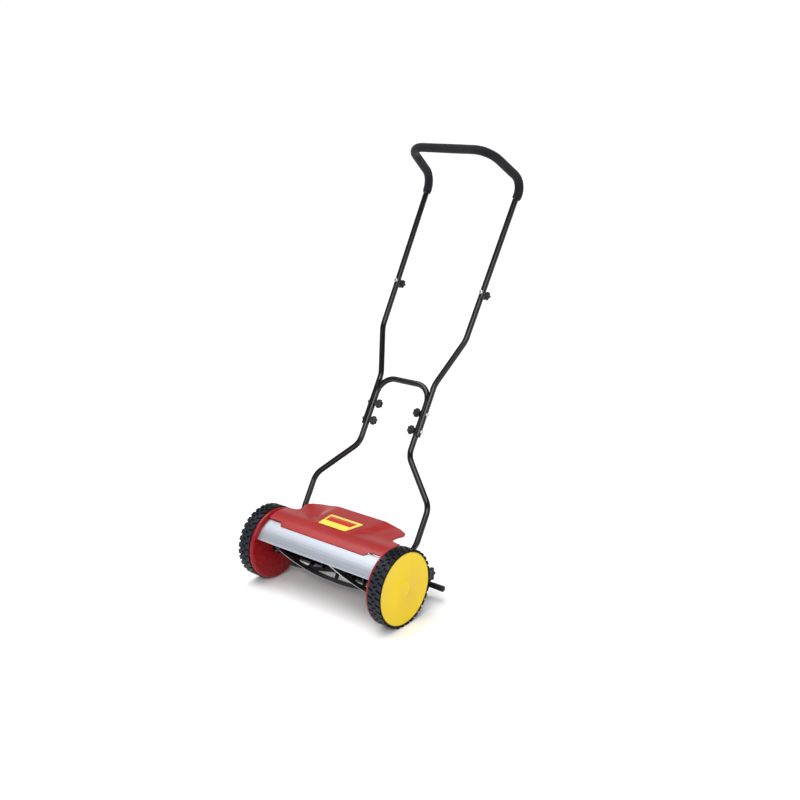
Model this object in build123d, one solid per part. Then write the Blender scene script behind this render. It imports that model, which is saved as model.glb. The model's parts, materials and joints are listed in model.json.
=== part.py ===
from build123d import *
import math
import os

# Push reel mower with side wheels, helical reel, rear roller and a three-piece folding handle.
# Millimetres. +Z up, -Y is the direction of mowing, +X to the side of the adjuster's stub.
# The origin is the ground point under the middle of the wheel axle.
# Places in the side view are (y, z) pairs; most are measured from the wheel axle.

# ---- driving sizes: wheels
WHEEL_R = 100.0
WHEEL_WIDTH = 38.1
TRACK_OUT = 489.0            # over the outer faces of both wheels
TREAD_DEPTH = 3.6
TREAD_LUGS = 34
TREAD_ROWS = 3
TREAD_GROOVE = 2.6
TREAD_SEAT = 2.0             # lugs, down into the carcass
TYRE_THICK = 13.5            # rubber, from the tread to the rim
RIM_WALL = 2.5
WEB = 4.0
WEB_SET = 17.6               # inboard face of the web, in from the wheel's inboard face
RIB_THICK = 3.0
INNER_RIBS = 12
INNER_RIB_HIGH = 9.0
OUTER_RIBS = 6
OUTER_RIB_HIGH = 5.0
HUB_WALL = 3.1
HUB_STEP = 2.5               # hub's inboard end, off the side plate
HUB_OVER = 8.0               # hub's outboard end, past the web
AXLE_R = 7.5
AXLE_OVER = 4.5              # axle's end, past the hub
AXLE_FLANGE = 8.5            # flange, beyond the axle's radius
AXLE_FLANGE_THICK = 4.0
CLIP_THICK = 1.2
CLIP_WIDE = 3.5
CLIP_DEEP = 1.0
BUSH_WALL = 2.4
DISC_EDGE = 6.5              # wheel cover's edge, in from the tread
DISC_THICK = 3.2
DISC_SET = 0.4               # wheel cover's face, in from the wheel's outer face
DISC_ROUND = 1.2
SKIRT_THICK = 2.0
SKIRT_DEEP = 8.0
BADGE_R = 21.0
BADGE_WIDE = 3.0
BADGE_DEEP = 0.8

# ---- driving sizes: side plates and chassis plates
DISH_EDGE = 2.6              # side plate's rim, in from the tread
DISH_DEPTH = 7.0
SHEET = 2.0
DISH_FILLET = 7.0            # outside of the dish's rounded corner
WHEEL_TO_DISH = 1.4
CHASSIS_THICK = 4.0
CHASSIS_FILLET = 4.0
CHASSIS_TOP = ((128.0, -8.0), (94.0, -12.0), (60.0, -9.0), (48.0, 14.0), (22.0, 24.0))
CHASSIS_FRONT = ((-18.0, 22.0), (-22.0, 0.0), (-18.0, -22.0), (20.0, -32.0), (48.0, -62.0))
CHASSIS_HEEL = (126.0, -53.0)
RIVET_R = 2.0
RIVET_HEAD_R = 3.6
RIVET_HEAD = 1.4
RIVETS = ((-13.0, -17.0), (-13.0, 17.0), (24.0, 17.0), (72.0, -20.0), (40.0, -38.0))
TIE_R = 5.0
TIE_FRONT_FROM_AXLE = (-55.0, 35.0)
TIE_REAR_BACK = 14.0         # rear tie rod, behind the reel's middle
TIE_REAR_OVER = 2.0          # rear tie rod, above the reel
TIE_THREAD = 16.0

# ---- driving sizes: reel and gear train
REEL_END_GAP = 17.0          # from the reel's end to the chassis plate
REEL_R = 62.0
BLADES = 5
BLADE_DEPTH = 12.0
BLADE_THICK = 2.4
BLADE_TWIST = 123.0
BLADE_LEAD = -20.6           # first blade, from straight down towards the back
WELD_GAP = 0.01              # blade beside its spider
SPIDERS = 5
SPIDER_THICK = 4.0
SPIDER_HUB_WALL = 9.0
SPIDER_ARM = 12.0
SPIDER_INSET = 20.0
SHAFT_R = 6.0
SHAFT_END_R = 5.0
SHAFT_HOLE = 2.0             # room round the shaft in the plates
HOUSING_LONG = 13.0
HOUSING_LIP = 2.0
HOUSING_WALL = 6.0
BEARING_WALL = 5.0
MODULE = 2.0
RING_TEETH = 56
PINION_TEETH = 14
PRESSURE = 20.0
BACKLASH = 0.35
RING_WALL = 8.0
RING_OVER = 0.5              # ring's inboard end, past the pinion
PINION_WIDTH = 12.0
PINION_TO_WEB = 3.5
POCKET_R = 8.0
NOTCHES = 4
NOTCH_DEEP = 1.2
NOTCH_WIDE = 3.0
PAWL_LONG = 12.6
PAWL_THICK = 3.0
SHAFT_CLIP_THICK = 1.0
SHAFT_CLIP_WIDE = 2.5
SHAFT_CLIP_DEEP = 0.7
SHAFT_OVER = 1.1             # shaft's end, past its clip
GEAR_LINE = -12.4            # direction from axle to reel, degrees above the rear horizon

# ---- driving sizes: bed knife
CUT_GAP = 0.25
KNIFE_ANGLE = 20.1           # knife edge, behind straight down under the reel
KNIFE_THICK = 3.0
KNIFE_DEPTH = 30.0
KNIFE_BEVEL = 2.5
KNIFE_END_GAP = 4.0
BAR_THICK = 4.0
BAR_DEPTH = 20.0
BAR_SETBACK = 11.7
BAR_HEIGHT = 15.5
BAR_END = 5.0
BED_SCREWS = 6
BED_SCREW_R = 2.5
BED_SCREW_INSET = 30.0
BED_SCREW_BACK = 9.5
BED_NUT_R = 4.4
BED_NUT_HIGH = 3.6
BED_BOLT_BACK = 20.5
BED_BOLT_UP = 9.0

# ---- driving sizes: front guard and cover
GUARD_R = 84.0
GUARD_SHEET = 1.2
GUARD_TOP = 20.0             # degrees forward of the top
GUARD_LOW = 62.8
HEM_R = 1.9
COVER_THICK = 2.5
COVER_LIP = (1.6, 0.6)       # front lip, back from the edge and up
COVER_TOP = ((-40.0, 76.6), (-24.0, 87.4), (0.0, 94.0), (42.0, 91.6), (94.0, 92.0), (120.0, 91.0))
FRONT_STEP = 52.0            # front step, in from the side plate
FRONT_STEP_WIDE = 8.0
SIDE_EDGE_Y = -30.0
NOTCH_Y = 41.0
NOTCH_IN = 31.0
TAIL_IN = 25.0
TAIL_Y = 94.0
TAIL_CORNER_IN = 61.0
TAIL_CORNER_Y = 117.0
TAIL_CORNER_LONG = 15.0
TAIL_ROUND = 9.0
STEP_ROUND = 3.0
BONNET_FRONT = (134.0, -2.0)  # corners of the bonnet's foot: in from the side plate, and behind the axle
BONNET_REAR = (92.0, 98.0)
BONNET_RISE = 6.0
BONNET_SINK = 3.0
BONNET_SLOPE = 62.0
FLANGE_Y = 26.0
FLANGE_LOW = 70.0
FLANGE_THICK = 3.0
COVER_SCREW_UP = 78.0
COVER_TO_GUARD = 2.0
LABEL_FRONT = 46.0
LABEL_REAR = 56.0
LABEL_Y = (4.0, 66.0)
LABEL_X = -3.0
LABEL_THICK = 0.5

# ---- driving sizes: handle, with distances measured along it from its foot point
HANDLE_FOOT_Y = 4.5          # foot point of the handle's plane, behind the axle
HANDLE_DROP = 100.0          # and below it
HANDLE_SLOPE = 0.5863        # rearward run for each unit of rise
TUBE_R = 8.0
TUBE_WALL = 1.2
FOOT_SET = 1.0               # middle of the round tube, out from the side plate's inner face
FOOT_LOW = 128.0
FOOT_TO_RIM = 6.1            # end of the flat, beyond the side plate's rim
FOOT_ROUND_LONG = 28.0
FOOT_BOLT_STEP = 16.0
FLAT_THICK = 9.0
FLAT_WIDE = 20.0
LEG_X = 86.0
SPLAY_LOW = 296.0
SPLAY_TOP = 410.0
ARCH_TOP = 603.0
LEG_BEND = 50.0
ARCH_BEND = 48.0
NEST_OFFSET = 6.0
NEST_LONG = 126.0            # hollowed end of a side tube
MID_LOW = 464.0
MID_SPLAY_LOW = 610.0
MID_SPLAY_TOP = 742.6
MID_TOP_X = 142.0
MID_BEND = 70.0
JOINT_LINE = 862.0
JOINT_NECK = 44.0
GRIP_START = 1149.0
GRIP_X = 151.0
ELBOW = (155.6, 1203.0, -7.0)
CORNER = (130.2, 1215.0, 155.0)
GRIP_BEND = 60.0
ELBOW_BEND = 42.0
CORNER_BEND = 55.0
FOAM_WALL = 4.5
FOAM_START = 6.0
NECK_BOLTS = (479.0, 527.0)
JOINT_BOLT = 880.0

# ---- driving sizes: height adjuster and roller
PIVOT_FROM_AXLE = (72.0, -38.0)
PIVOT_R = 4.0
STAR_FROM_AXLE = (148.0, -28.0)
STUB_FROM_AXLE = (162.0, -63.0)
STUB_R = 7.5
STUB_SHORT = 1.5             # stub's end, in from the wheel's outer face
STUB_CHAMFER = 1.5
STUB_GROOVES = 6
STUB_GROOVE = 1.4
STUB_GROOVE_STEP = 4.4
STUB_GROOVE_DEEP = 0.7
STUB_GROOVE_INSET = 30.0
SWING = 8.0
SLOT_OVER = 0.4              # degrees past each end of the swing
SLOT_WALL = 8.3
SLOT_SPREAD = 16.0
ARM_THICK = 5.0
ARM_EYES = (10.0, 12.0, 12.0, 10.5)
ROLLER_Y = 146.0
ROLLER_R = 21.0
ROLLER_WALL = 2.5
ROLLER_HUB = 8.0
ROLLER_END_GAP = 2.0

# ---- driving sizes: bolts and knobs
BOLT_R = 3.0
HEAD_R = 5.5
HEAD_HIGH = 3.5
SMALL_HEAD_R = 5.2
SMALL_HEAD_HIGH = 3.0
NUT_R = 4.5
NUT_HIGH = 4.0
THREAD_OVER = 2.0            # thread past a nut
PIVOT_HEAD_R = 6.0
PIVOT_NUT_R = 6.5
HAND_R = 12.5
HAND_LONG = 18.0
HAND_LOBES = 6
STAR_R = 21.0
STAR_LONG = 15.0
STAR_LOBES = 7
KNOB_CAP = 2.0               # knob's closed end over its bore
BOLT_SHORT = 4.0             # bolt's end, in from the knob's face

# ---- clearances
FIT = 0.05                   # shaft in bore, piece in its seat
HOLE = 0.1                   # bolt in its hole
GAP = 0.3                    # moving piece beside a fixed one
SIDE_GAP = 0.5
PAST = 1.0                   # cutters run this far past what they cut


def by_axle(place):
    """Side-view place given from the wheel axle."""
    return (place[0], WHEEL_R + place[1])


# ---- places worked out from the sizes
WHEEL_OUT_X = TRACK_OUT / 2
WHEEL_IN_X = WHEEL_OUT_X - WHEEL_WIDTH
DISH_OUT_X = WHEEL_IN_X - WHEEL_TO_DISH
DISH_FACE_X = DISH_OUT_X - DISH_DEPTH
PLATE_X = DISH_FACE_X - SHEET            # inner face of the side plate
CHASSIS_X = PLATE_X - CHASSIS_THICK      # inner face of the chassis plate
ARM_OUT_X = CHASSIS_X - SIDE_GAP
ARM_IN_X = ARM_OUT_X - ARM_THICK
AXLE = (0.0, WHEEL_R)
TYRE_IN_R = WHEEL_R - TYRE_THICK
DISC_R = WHEEL_R - DISC_EDGE
DISH_R = WHEEL_R - DISH_EDGE
HUB_R = AXLE_R + BUSH_WALL + HUB_WALL
WEB_X = WHEEL_IN_X + WEB_SET
HUB_IN_X = DISH_FACE_X + HUB_STEP
HUB_OUT_X = WEB_X + WEB + HUB_OVER
DISC_IN_X = WHEEL_OUT_X - DISC_THICK - DISC_SET / 2
PINION_OUT_X = WEB_X - PINION_TO_WEB
PINION_IN_X = PINION_OUT_X - PINION_WIDTH
PAWL_X = PINION_IN_X + PINION_WIDTH / 4
RING_PITCH = MODULE * RING_TEETH / 2
PINION_PITCH = MODULE * PINION_TEETH / 2
RING_OUT_R = RING_PITCH + RING_WALL
CENTRES = RING_PITCH - PINION_PITCH
REEL = by_axle((CENTRES * math.cos(math.radians(GEAR_LINE)), CENTRES * math.sin(math.radians(GEAR_LINE))))
CUT_WIDTH = 2 * (CHASSIS_X - REEL_END_GAP)
SPIDER_R = REEL_R - BLADE_DEPTH
BEARING_R = SHAFT_R + BEARING_WALL
HOUSING_R = BEARING_R + HOUSING_WALL
KNIFE_Y = REEL[0] + (REEL_R + CUT_GAP) * math.sin(math.radians(KNIFE_ANGLE))
KNIFE_Z = REEL[1] - (REEL_R + CUT_GAP) * math.cos(math.radians(KNIFE_ANGLE))
BAR_Y = KNIFE_Y + BAR_SETBACK
SCREW_Y = BAR_Y + BED_SCREW_BACK
BED_BOLT_AT = (KNIFE_Y + BED_BOLT_BACK, KNIFE_Z + BED_BOLT_UP)
RIVETS_AT = [by_axle(place) for place in RIVETS]
TIE_FRONT = by_axle(TIE_FRONT_FROM_AXLE)
TIE_REAR = (REEL[0] + TIE_REAR_BACK, REEL[1] + REEL_R + TIE_R + TIE_REAR_OVER)
COVER_SCREW_AT = by_axle((0.0, COVER_SCREW_UP))
PIVOT = by_axle(PIVOT_FROM_AXLE)
STAR_AT = by_axle(STAR_FROM_AXLE)
STUB_AT = by_axle(STUB_FROM_AXLE)
ROLLER_AT = (ROLLER_Y, ROLLER_R)
STUB_OUT = WHEEL_OUT_X - STUB_SHORT
SLOT_R = math.hypot(STAR_AT[0] - PIVOT[0], STAR_AT[1] - PIVOT[1])
SLOT_MIDDLE = math.degrees(math.atan2(STAR_AT[1] - PIVOT[1], STAR_AT[0] - PIVOT[0]))
COVER_IN_R = GUARD_R + FIT
COVER_LINE = [by_axle(place) for place in COVER_TOP]
DECK_Z = COVER_LINE[3][1]                # flat part of the cover, behind its crown
GUARD_EDGE_Y = COVER_TO_GUARD - GUARD_R * math.sin(math.radians(GUARD_TOP))
GRIP_R = TUBE_R + FOAM_WALL
MID_X = LEG_X + NEST_OFFSET
FOOT_X = PLATE_X + FOOT_SET
FLAT_IN_X = PLATE_X - FLAT_THICK
LENGTH = math.hypot(1, HANDLE_SLOPE)
UP_Y = HANDLE_SLOPE / LENGTH
UP_Z = 1 / LENGTH


def along_to(radius):
    """Distance along the handle at which it crosses a circle about the axle."""
    back = HANDLE_DROP * UP_Z - HANDLE_FOOT_Y * UP_Y
    return back + math.sqrt(back ** 2 - HANDLE_FOOT_Y ** 2 - HANDLE_DROP ** 2 + radius ** 2)


FOOT_FLAT_TOP = along_to(DISH_R + FOOT_TO_RIM)
FOOT_ROUND = FOOT_FLAT_TOP + FOOT_ROUND_LONG


# ---- helpers
def rod_x(radius, x0, x1, at):
    """Solid round bar along X, centred on (y, z)."""
    middle = Pos((x0 + x1) / 2, at[0], at[1])
    return middle * Rot(0, 90, 0) * Cylinder(radius, abs(x1 - x0))


def ring_x(outer, inner, x0, x1, at):
    """Round sleeve along X."""
    return rod_x(outer, x0, x1, at) - rod_x(inner, x0 - 1, x1 + 1, at)


def plate_x(face, x0, x1):
    """A YZ outline given thickness along X."""
    return extrude(Plane.YZ.offset(x0) * face, amount=x1 - x0)


def block(x0, x1, y0, y1, z0, z1):
    """Box between two corners."""
    centre = Pos((x0 + x1) / 2, (y0 + y1) / 2, (z0 + z1) / 2)
    return centre * Box(x1 - x0, y1 - y0, z1 - z0)


def other_side(shape):
    """The same shape on the left of the mower."""
    return mirror(shape, about=Plane.YZ)


def both_sides(shape):
    return [shape, other_side(shape)]


def turned(radius, degrees, at):
    """Point at a radius and an angle about an X axis through (y, z)."""
    angle = math.radians(degrees)
    return (at[0] + radius * math.cos(angle), at[1] + radius * math.sin(angle))


def handle_point(x, along, out=0.0):
    """Point in the handle's plane: distance along it and out of it towards the front."""
    y = HANDLE_FOOT_Y + along * UP_Y - out * UP_Z
    return (x, y, WHEEL_R - HANDLE_DROP + along * UP_Z + out * UP_Y)


def handle_plane(x, along):
    """Plane square to the handle, its local x along X and its local y out of the back."""
    return Plane(origin=handle_point(x, along), x_dir=(1, 0, 0), z_dir=(0, UP_Y, UP_Z))


def leg_x(along):
    """Half width of the upper legs, which spread a little upwards."""
    spread = (GRIP_X - MID_TOP_X) / (GRIP_START - MID_SPLAY_TOP)
    return MID_TOP_X + spread * (along - MID_SPLAY_TOP)


def swept(points, bends, radius):
    """Round bar along straight runs joined by arcs."""
    path = FilletPolyline(*points, radius=bends)
    return sweep(Plane(origin=path @ 0, z_dir=path % 0) * Circle(radius), path=path)


def tube(points, bends):
    return swept(points, bends, TUBE_R) - swept(points, bends, TUBE_R - TUBE_WALL)


def cross_bolt_x(x0, x1, at, radius=BOLT_R):
    """Cutter for a bolt hole along X."""
    return rod_x(radius + HOLE, x0, x1, at)


def bolt(long, head_r=HEAD_R, head_high=HEAD_HIGH, radius=BOLT_R):
    """Domed bolt, head above z = 0 and shank below it."""
    head = Cylinder(head_r, head_high, align=(Align.CENTER, Align.CENTER, Align.MIN))
    head = fillet(head.faces().sort_by(Axis.Z)[-1].edges(), head_high * 0.7)
    shank = Cylinder(radius, long, align=(Align.CENTER, Align.CENTER, Align.MAX))
    return head + shank


def nut(radius, high, bore):
    """Hexagon nut standing on z = 0."""
    return extrude(RegularPolygon(radius, 6) - Circle(bore), amount=high)


def facing(x, at, way):
    """Place something that stands on z = 0 so that it stands on the plane x, pointing along way."""
    return Pos(x, at[0], at[1]) * Rot(0, 90 * way, 0)


def knob(radius, long, lobes, bore):
    """Hand knob standing on z = 0: a collar, a lobed grip and a blind bore from below."""
    lobe_r = radius * 0.27
    collar_high = long * 0.35
    outline = Circle(radius - lobe_r * 0.75) + PolarLocations(radius - lobe_r, lobes) * Circle(lobe_r)
    grip = Pos(0, 0, collar_high) * extrude(outline, amount=long - collar_high)
    grip = chamfer(grip.faces().sort_by(Axis.Z)[-1].edges(), lobe_r * 0.3)
    collar = extrude(Circle(radius - 1.4 * lobe_r), amount=collar_high)
    hole = Cylinder(bore + FIT, long - KNOB_CAP, align=(Align.CENTER, Align.CENTER, Align.MIN))
    return collar + grip - hole


# ---- gears
def involute_angle(radius, base):
    """Polar angle of an involute at a radius."""
    turn = math.acos(min(1.0, base / radius))
    return math.tan(turn) - turn


def gear_outline(teeth, pitch, root, tip, widen, middle):
    """Toothed outline; widen is added to each tooth's thickness at the pitch circle."""
    base = pitch * math.cos(math.radians(PRESSURE))
    half = math.pi / teeth / 2 + widen / pitch / 2
    flank = [max(base, root) + (tip - max(base, root)) * k / 4 for k in range(5)]
    at_pitch = involute_angle(pitch, base)
    side = [(r, half - (involute_angle(r, base) - at_pitch)) for r in flank]
    if base > root:
        side.insert(0, (root, side[0][1]))
    points = []
    for tooth in range(teeth):
        centre = math.radians(middle) + 2 * math.pi * tooth / teeth
        rising = [(r, centre - a) for r, a in side]
        falling = [(r, centre + a) for r, a in reversed(side)]
        points += [(r * math.cos(a), r * math.sin(a)) for r, a in rising + falling]
    return make_face(Polyline(*points, close=True))


def ring_gear():
    """Internal gear on the wheel; a gap between teeth lies on the line to the reel."""
    gap = gear_outline(RING_TEETH, RING_PITCH, RING_PITCH - 0.6 * MODULE, RING_PITCH + 1.25 * MODULE,
                       BACKLASH / 2, GEAR_LINE)
    face = Circle(RING_OUT_R) - gap
    return Pos(0, *AXLE) * plate_x(face, PINION_IN_X - RING_OVER, WEB_X)


def pinion():
    """Free-wheeling pinion with a ratchet pocket on its inboard side."""
    face = gear_outline(PINION_TEETH, PINION_PITCH, PINION_PITCH - 1.25 * MODULE, PINION_PITCH + MODULE,
                        -BACKLASH / 2, GEAR_LINE)
    body = Pos(0, *REEL) * plate_x(face, PINION_IN_X, PINION_OUT_X)
    body -= rod_x(SHAFT_END_R + FIT, PINION_IN_X - PAST, PINION_OUT_X + PAST, REEL)
    pocket = Circle(POCKET_R) + PolarLocations(POCKET_R, NOTCHES) * Rectangle(2 * NOTCH_DEEP, NOTCH_WIDE)
    return body - Pos(0, *REEL) * plate_x(pocket, PINION_IN_X - PAST, PINION_IN_X + PINION_WIDTH / 2)


# ---- wheels
def tread_face(turn):
    """Ring of lugs of one tread row."""
    step = 360 / TREAD_LUGS
    base = WHEEL_R - TREAD_DEPTH
    points = []
    for lug in range(TREAD_LUGS):
        start = turn + lug * step
        for radius, angle in ((base, 0), (WHEEL_R, 0.06), (WHEEL_R, 0.33), (WHEEL_R, 0.60), (base, 0.66)):
            points.append(turned(radius, start + angle * step, (0, 0)))
    return make_face(Polyline(*points, close=True)) - Circle(base - TREAD_SEAT)


def tyre():
    base = WHEEL_R - TREAD_DEPTH
    body = ring_x(base, TYRE_IN_R, WHEEL_IN_X, WHEEL_OUT_X, AXLE)
    row = (WHEEL_WIDTH - (TREAD_ROWS - 1) * TREAD_GROOVE) / TREAD_ROWS
    for number in range(TREAD_ROWS):
        x0 = WHEEL_IN_X + number * (row + TREAD_GROOVE)
        turn = (number % 2) * 180 / TREAD_LUGS
        body += Pos(0, *AXLE) * plate_x(tread_face(turn), x0, x0 + row)
    seat = rod_x(DISC_R + GAP, WHEEL_OUT_X - DISC_THICK - GAP, WHEEL_OUT_X + PAST, AXLE)
    return body - seat


def wheel_core():
    """Moulded wheel: rim, web with ribs, and hub."""
    rim_in = TYRE_IN_R - RIM_WALL
    rim_mid = TYRE_IN_R - RIM_WALL / 2
    ring_edge = RING_OUT_R + PAST
    rim = ring_x(TYRE_IN_R - FIT, rim_in, WHEEL_IN_X + GAP, DISC_IN_X - FIT, AXLE)
    web = ring_x(rim_mid, HUB_R - PAST, WEB_X, WEB_X + WEB, AXLE)
    body = rim + web + rod_x(HUB_R, HUB_IN_X, HUB_OUT_X, AXLE)
    for place in PolarLocations((ring_edge + rim_mid) / 2, INNER_RIBS):
        rib = plate_x(place * Rectangle(rim_mid - ring_edge, RIB_THICK), WEB_X - INNER_RIB_HIGH, WEB_X + PAST)
        body += Pos(0, *AXLE) * rib
    web_out = WEB_X + WEB
    for place in PolarLocations((HUB_R - PAST + rim_mid) / 2, OUTER_RIBS, start_angle=180 / OUTER_RIBS):
        rib = place * Rectangle(rim_mid - HUB_R + PAST, RIB_THICK)
        body += Pos(0, *AXLE) * plate_x(rib, web_out - PAST, web_out + OUTER_RIB_HIGH)
    return body - rod_x(AXLE_R + BUSH_WALL + FIT, HUB_IN_X - PAST, HUB_OUT_X + PAST, AXLE)


def wheel_bush():
    return ring_x(AXLE_R + BUSH_WALL, AXLE_R + FIT, HUB_IN_X, HUB_OUT_X, AXLE)


def wheel_cover():
    """Snap-on disc with a locating skirt and a plain round badge ring."""
    face_x = WHEEL_OUT_X - DISC_SET
    disc = rod_x(DISC_R, DISC_IN_X, face_x, AXLE)
    disc = fillet(disc.faces().sort_by(Axis.X)[-1].edges(), DISC_ROUND)
    skirt_r = TYRE_IN_R - RIM_WALL - FIT
    disc += ring_x(skirt_r, skirt_r - SKIRT_THICK, DISC_IN_X - SKIRT_DEEP, DISC_IN_X + PAST, AXLE)
    return disc - ring_x(BADGE_R, BADGE_R - BADGE_WIDE, face_x - BADGE_DEEP, face_x + PAST, AXLE)


def axle_stub():
    """Stub axle with a flange against the chassis plate and a clip groove."""
    body = rod_x(AXLE_R, CHASSIS_X - PAST, HUB_OUT_X + AXLE_OVER, AXLE)
    body = chamfer(body.faces().sort_by(Axis.X)[-1].edges(), CLIP_DEEP)
    body += rod_x(AXLE_R + AXLE_FLANGE, CHASSIS_X - AXLE_FLANGE_THICK, CHASSIS_X, AXLE)
    groove_x = HUB_OUT_X + GAP
    return body - ring_x(AXLE_R + PAST, AXLE_R - CLIP_DEEP, groove_x, groove_x + CLIP_THICK + 2 * FIT, AXLE)


def axle_clip():
    """E-clip in the axle's groove."""
    x0 = HUB_OUT_X + GAP + FIT
    clip = ring_x(AXLE_R + CLIP_WIDE, AXLE_R - CLIP_DEEP + FIT, x0, x0 + CLIP_THICK, AXLE)
    mouth = CLIP_WIDE - CLIP_DEEP / 2
    return clip - block(x0 - PAST, x0 + CLIP_THICK + PAST, -mouth, mouth, WHEEL_R, WHEEL_R + 2 * AXLE_R)


# ---- side plates and chassis plates
def side_plate():
    """Round pressed dish, with a flat seat for each screw head and room for the bed bolt's head."""
    flat_r = DISH_R - DISH_FILLET
    rim_in = DISH_R - SHEET
    bend_x = PLATE_X + DISH_FILLET
    outline = [
        Line((PLATE_X, 0), (PLATE_X, flat_r)),
        RadiusArc((PLATE_X, flat_r), (bend_x, DISH_R), DISH_FILLET),
        Polyline((bend_x, DISH_R), (DISH_OUT_X, DISH_R), (DISH_OUT_X, rim_in), (bend_x, rim_in)),
        RadiusArc((bend_x, rim_in), (DISH_FACE_X, flat_r), SHEET - DISH_FILLET),
        Polyline((DISH_FACE_X, flat_r), (DISH_FACE_X, 0), (PLATE_X, 0)),
    ]
    dish = Pos(0, *AXLE) * revolve(make_face(outline), axis=Axis.X)
    low = PLATE_X - PAST
    high = DISH_OUT_X + PAST
    dish -= rod_x(AXLE_R + FIT, low, high, AXLE)
    dish -= rod_x(SHAFT_R + SHAFT_HOLE, low, high, REEL)
    for at in (TIE_FRONT, TIE_REAR, COVER_SCREW_AT, *foot_bolt_places()):
        dish -= cross_bolt_x(low, high, at) + rod_x(SMALL_HEAD_R + GAP, DISH_FACE_X, high, at)
    dish -= rod_x(HEAD_R + GAP, low, PLATE_X + HEAD_HIGH + GAP, BED_BOLT_AT)
    for at in RIVETS_AT:
        dish -= cross_bolt_x(low, high, at, RIVET_R)
    return dish - cross_bolt_x(low, high, PIVOT, PIVOT_R)


def arc_slot():
    """Curved slot about the adjuster's pivot, as long as the swing."""
    ends = SWING + SLOT_OVER
    half = PIVOT_R + HOLE
    wall = []
    for radius in (SLOT_R - half, SLOT_R + half):
        wall.append([turned(radius, SLOT_MIDDLE + ends * k, PIVOT) for k in (-1, 0, 1)])
    low, high = wall
    face = make_face([
        ThreePointArc(*low),
        Line(low[2], high[2]),
        ThreePointArc(*high),
        Line(high[0], low[0]),
    ])
    for k in (-1, 1):
        centre = turned(SLOT_R, SLOT_MIDDLE + ends * k, PIVOT)
        face += Pos(*centre) * Circle(half)
    return face


def chassis_plate():
    """Flat steel plate that carries the axle, the reel, the bed and the height slot."""
    rear = [turned(SLOT_R + SLOT_WALL, SLOT_MIDDLE + SLOT_SPREAD * k, PIVOT) for k in (-1, 0, 1)]
    bar_back = BAR_Y + BAR_DEPTH
    bed = [(KNIFE_Y + 6, KNIFE_Z - 5), (bar_back + 2.3, KNIFE_Z - KNIFE_THICK),
           (bar_back + 5.3, KNIFE_Z + BAR_HEIGHT + 2.5)]
    upper = [by_axle(place) for place in CHASSIS_TOP + CHASSIS_FRONT]
    outline = Polyline(rear[2], *upper, *bed, by_axle(CHASSIS_HEEL), rear[0])
    face = make_face([outline, ThreePointArc(*rear)])
    face = fillet(face.vertices(), CHASSIS_FILLET)
    plate = plate_x(face - arc_slot(), CHASSIS_X, PLATE_X)
    low = CHASSIS_X - PAST
    high = PLATE_X + PAST
    plate -= rod_x(AXLE_R + FIT, low, high, AXLE)
    plate -= rod_x(SHAFT_R + SHAFT_HOLE, low, high, REEL)
    plate -= cross_bolt_x(low, high, PIVOT, PIVOT_R)
    plate -= cross_bolt_x(low, high, BED_BOLT_AT)
    for at in RIVETS_AT:
        plate -= cross_bolt_x(low, high, at, RIVET_R)
    return plate


def rivets():
    """Rivets through both plates, heads inside and outside."""
    pieces = []
    for at in RIVETS_AT:
        shank = rod_x(RIVET_R, CHASSIS_X, DISH_FACE_X, at)
        inside = rod_x(RIVET_HEAD_R, CHASSIS_X - RIVET_HEAD, CHASSIS_X, at)
        outside = rod_x(RIVET_HEAD_R, DISH_FACE_X, DISH_FACE_X + RIVET_HEAD, at)
        outside = fillet(outside.faces().sort_by(Axis.X)[-1].edges(), RIVET_HEAD * 0.7)
        pieces += both_sides(inside + shank + outside)
    return pieces


def bearing_housing():
    """Cup on the chassis plate with a lip that keeps the bearing in."""
    x0 = CHASSIS_X - HOUSING_LONG
    body = ring_x(HOUSING_R, BEARING_R + FIT, x0, CHASSIS_X, REEL)
    return body + ring_x(HOUSING_R, SHAFT_R + SHAFT_HOLE, x0, x0 + HOUSING_LIP, REEL)


def reel_bearing():
    """Plain bearing bush pressed in the housing."""
    x0 = CHASSIS_X - HOUSING_LONG + HOUSING_LIP
    return ring_x(BEARING_R, SHAFT_R + FIT, x0 + FIT, CHASSIS_X, REEL)


# ---- reel
def reel_shaft():
    """Shaft with a slot for each pawl and a groove for each clip."""
    step_x = PINION_IN_X - GAP
    groove_x = PINION_OUT_X + GAP - FIT
    groove_end = groove_x + SHAFT_CLIP_THICK + 2 * FIT
    end_x = groove_end + SHAFT_OVER
    body = rod_x(SHAFT_R, -step_x, step_x, REEL) + rod_x(SHAFT_END_R, -end_x, end_x, REEL)
    slot = Pos(PAWL_X, *REEL) * Box(PAWL_THICK + 2 * FIT, 2 * PAWL_LONG, PAWL_THICK + 2 * FIT)
    groove = ring_x(SHAFT_R, SHAFT_END_R - SHAFT_CLIP_DEEP, groove_x, groove_end, REEL)
    for cutter in both_sides(slot + groove):
        body -= cutter
    return body


def pawls():
    """Sliding keys that drive the reel forwards; both rest drawn in, clear of the pinions' notches."""
    return both_sides(Pos(PAWL_X, *REEL) * Box(PAWL_THICK, PAWL_LONG, PAWL_THICK))


def shaft_clips():
    """Clips that keep the pinions on the shaft."""
    x0 = PINION_OUT_X + GAP
    x1 = x0 + SHAFT_CLIP_THICK
    clip = ring_x(SHAFT_END_R + SHAFT_CLIP_WIDE, SHAFT_END_R - SHAFT_CLIP_DEEP + FIT, x0, x1, REEL)
    half = SHAFT_END_R / 2
    clip -= block(x0 - PAST, x1 + PAST, REEL[0] - half, REEL[0] + half, REEL[1], REEL[1] + 2 * SHAFT_END_R)
    return both_sides(clip)


def blade_angle(x):
    """Angle of the first blade at a place along the reel, from the rear horizon."""
    return -90 + BLADE_LEAD + BLADE_TWIST * (x + CUT_WIDTH / 2) / CUT_WIDTH


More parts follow.
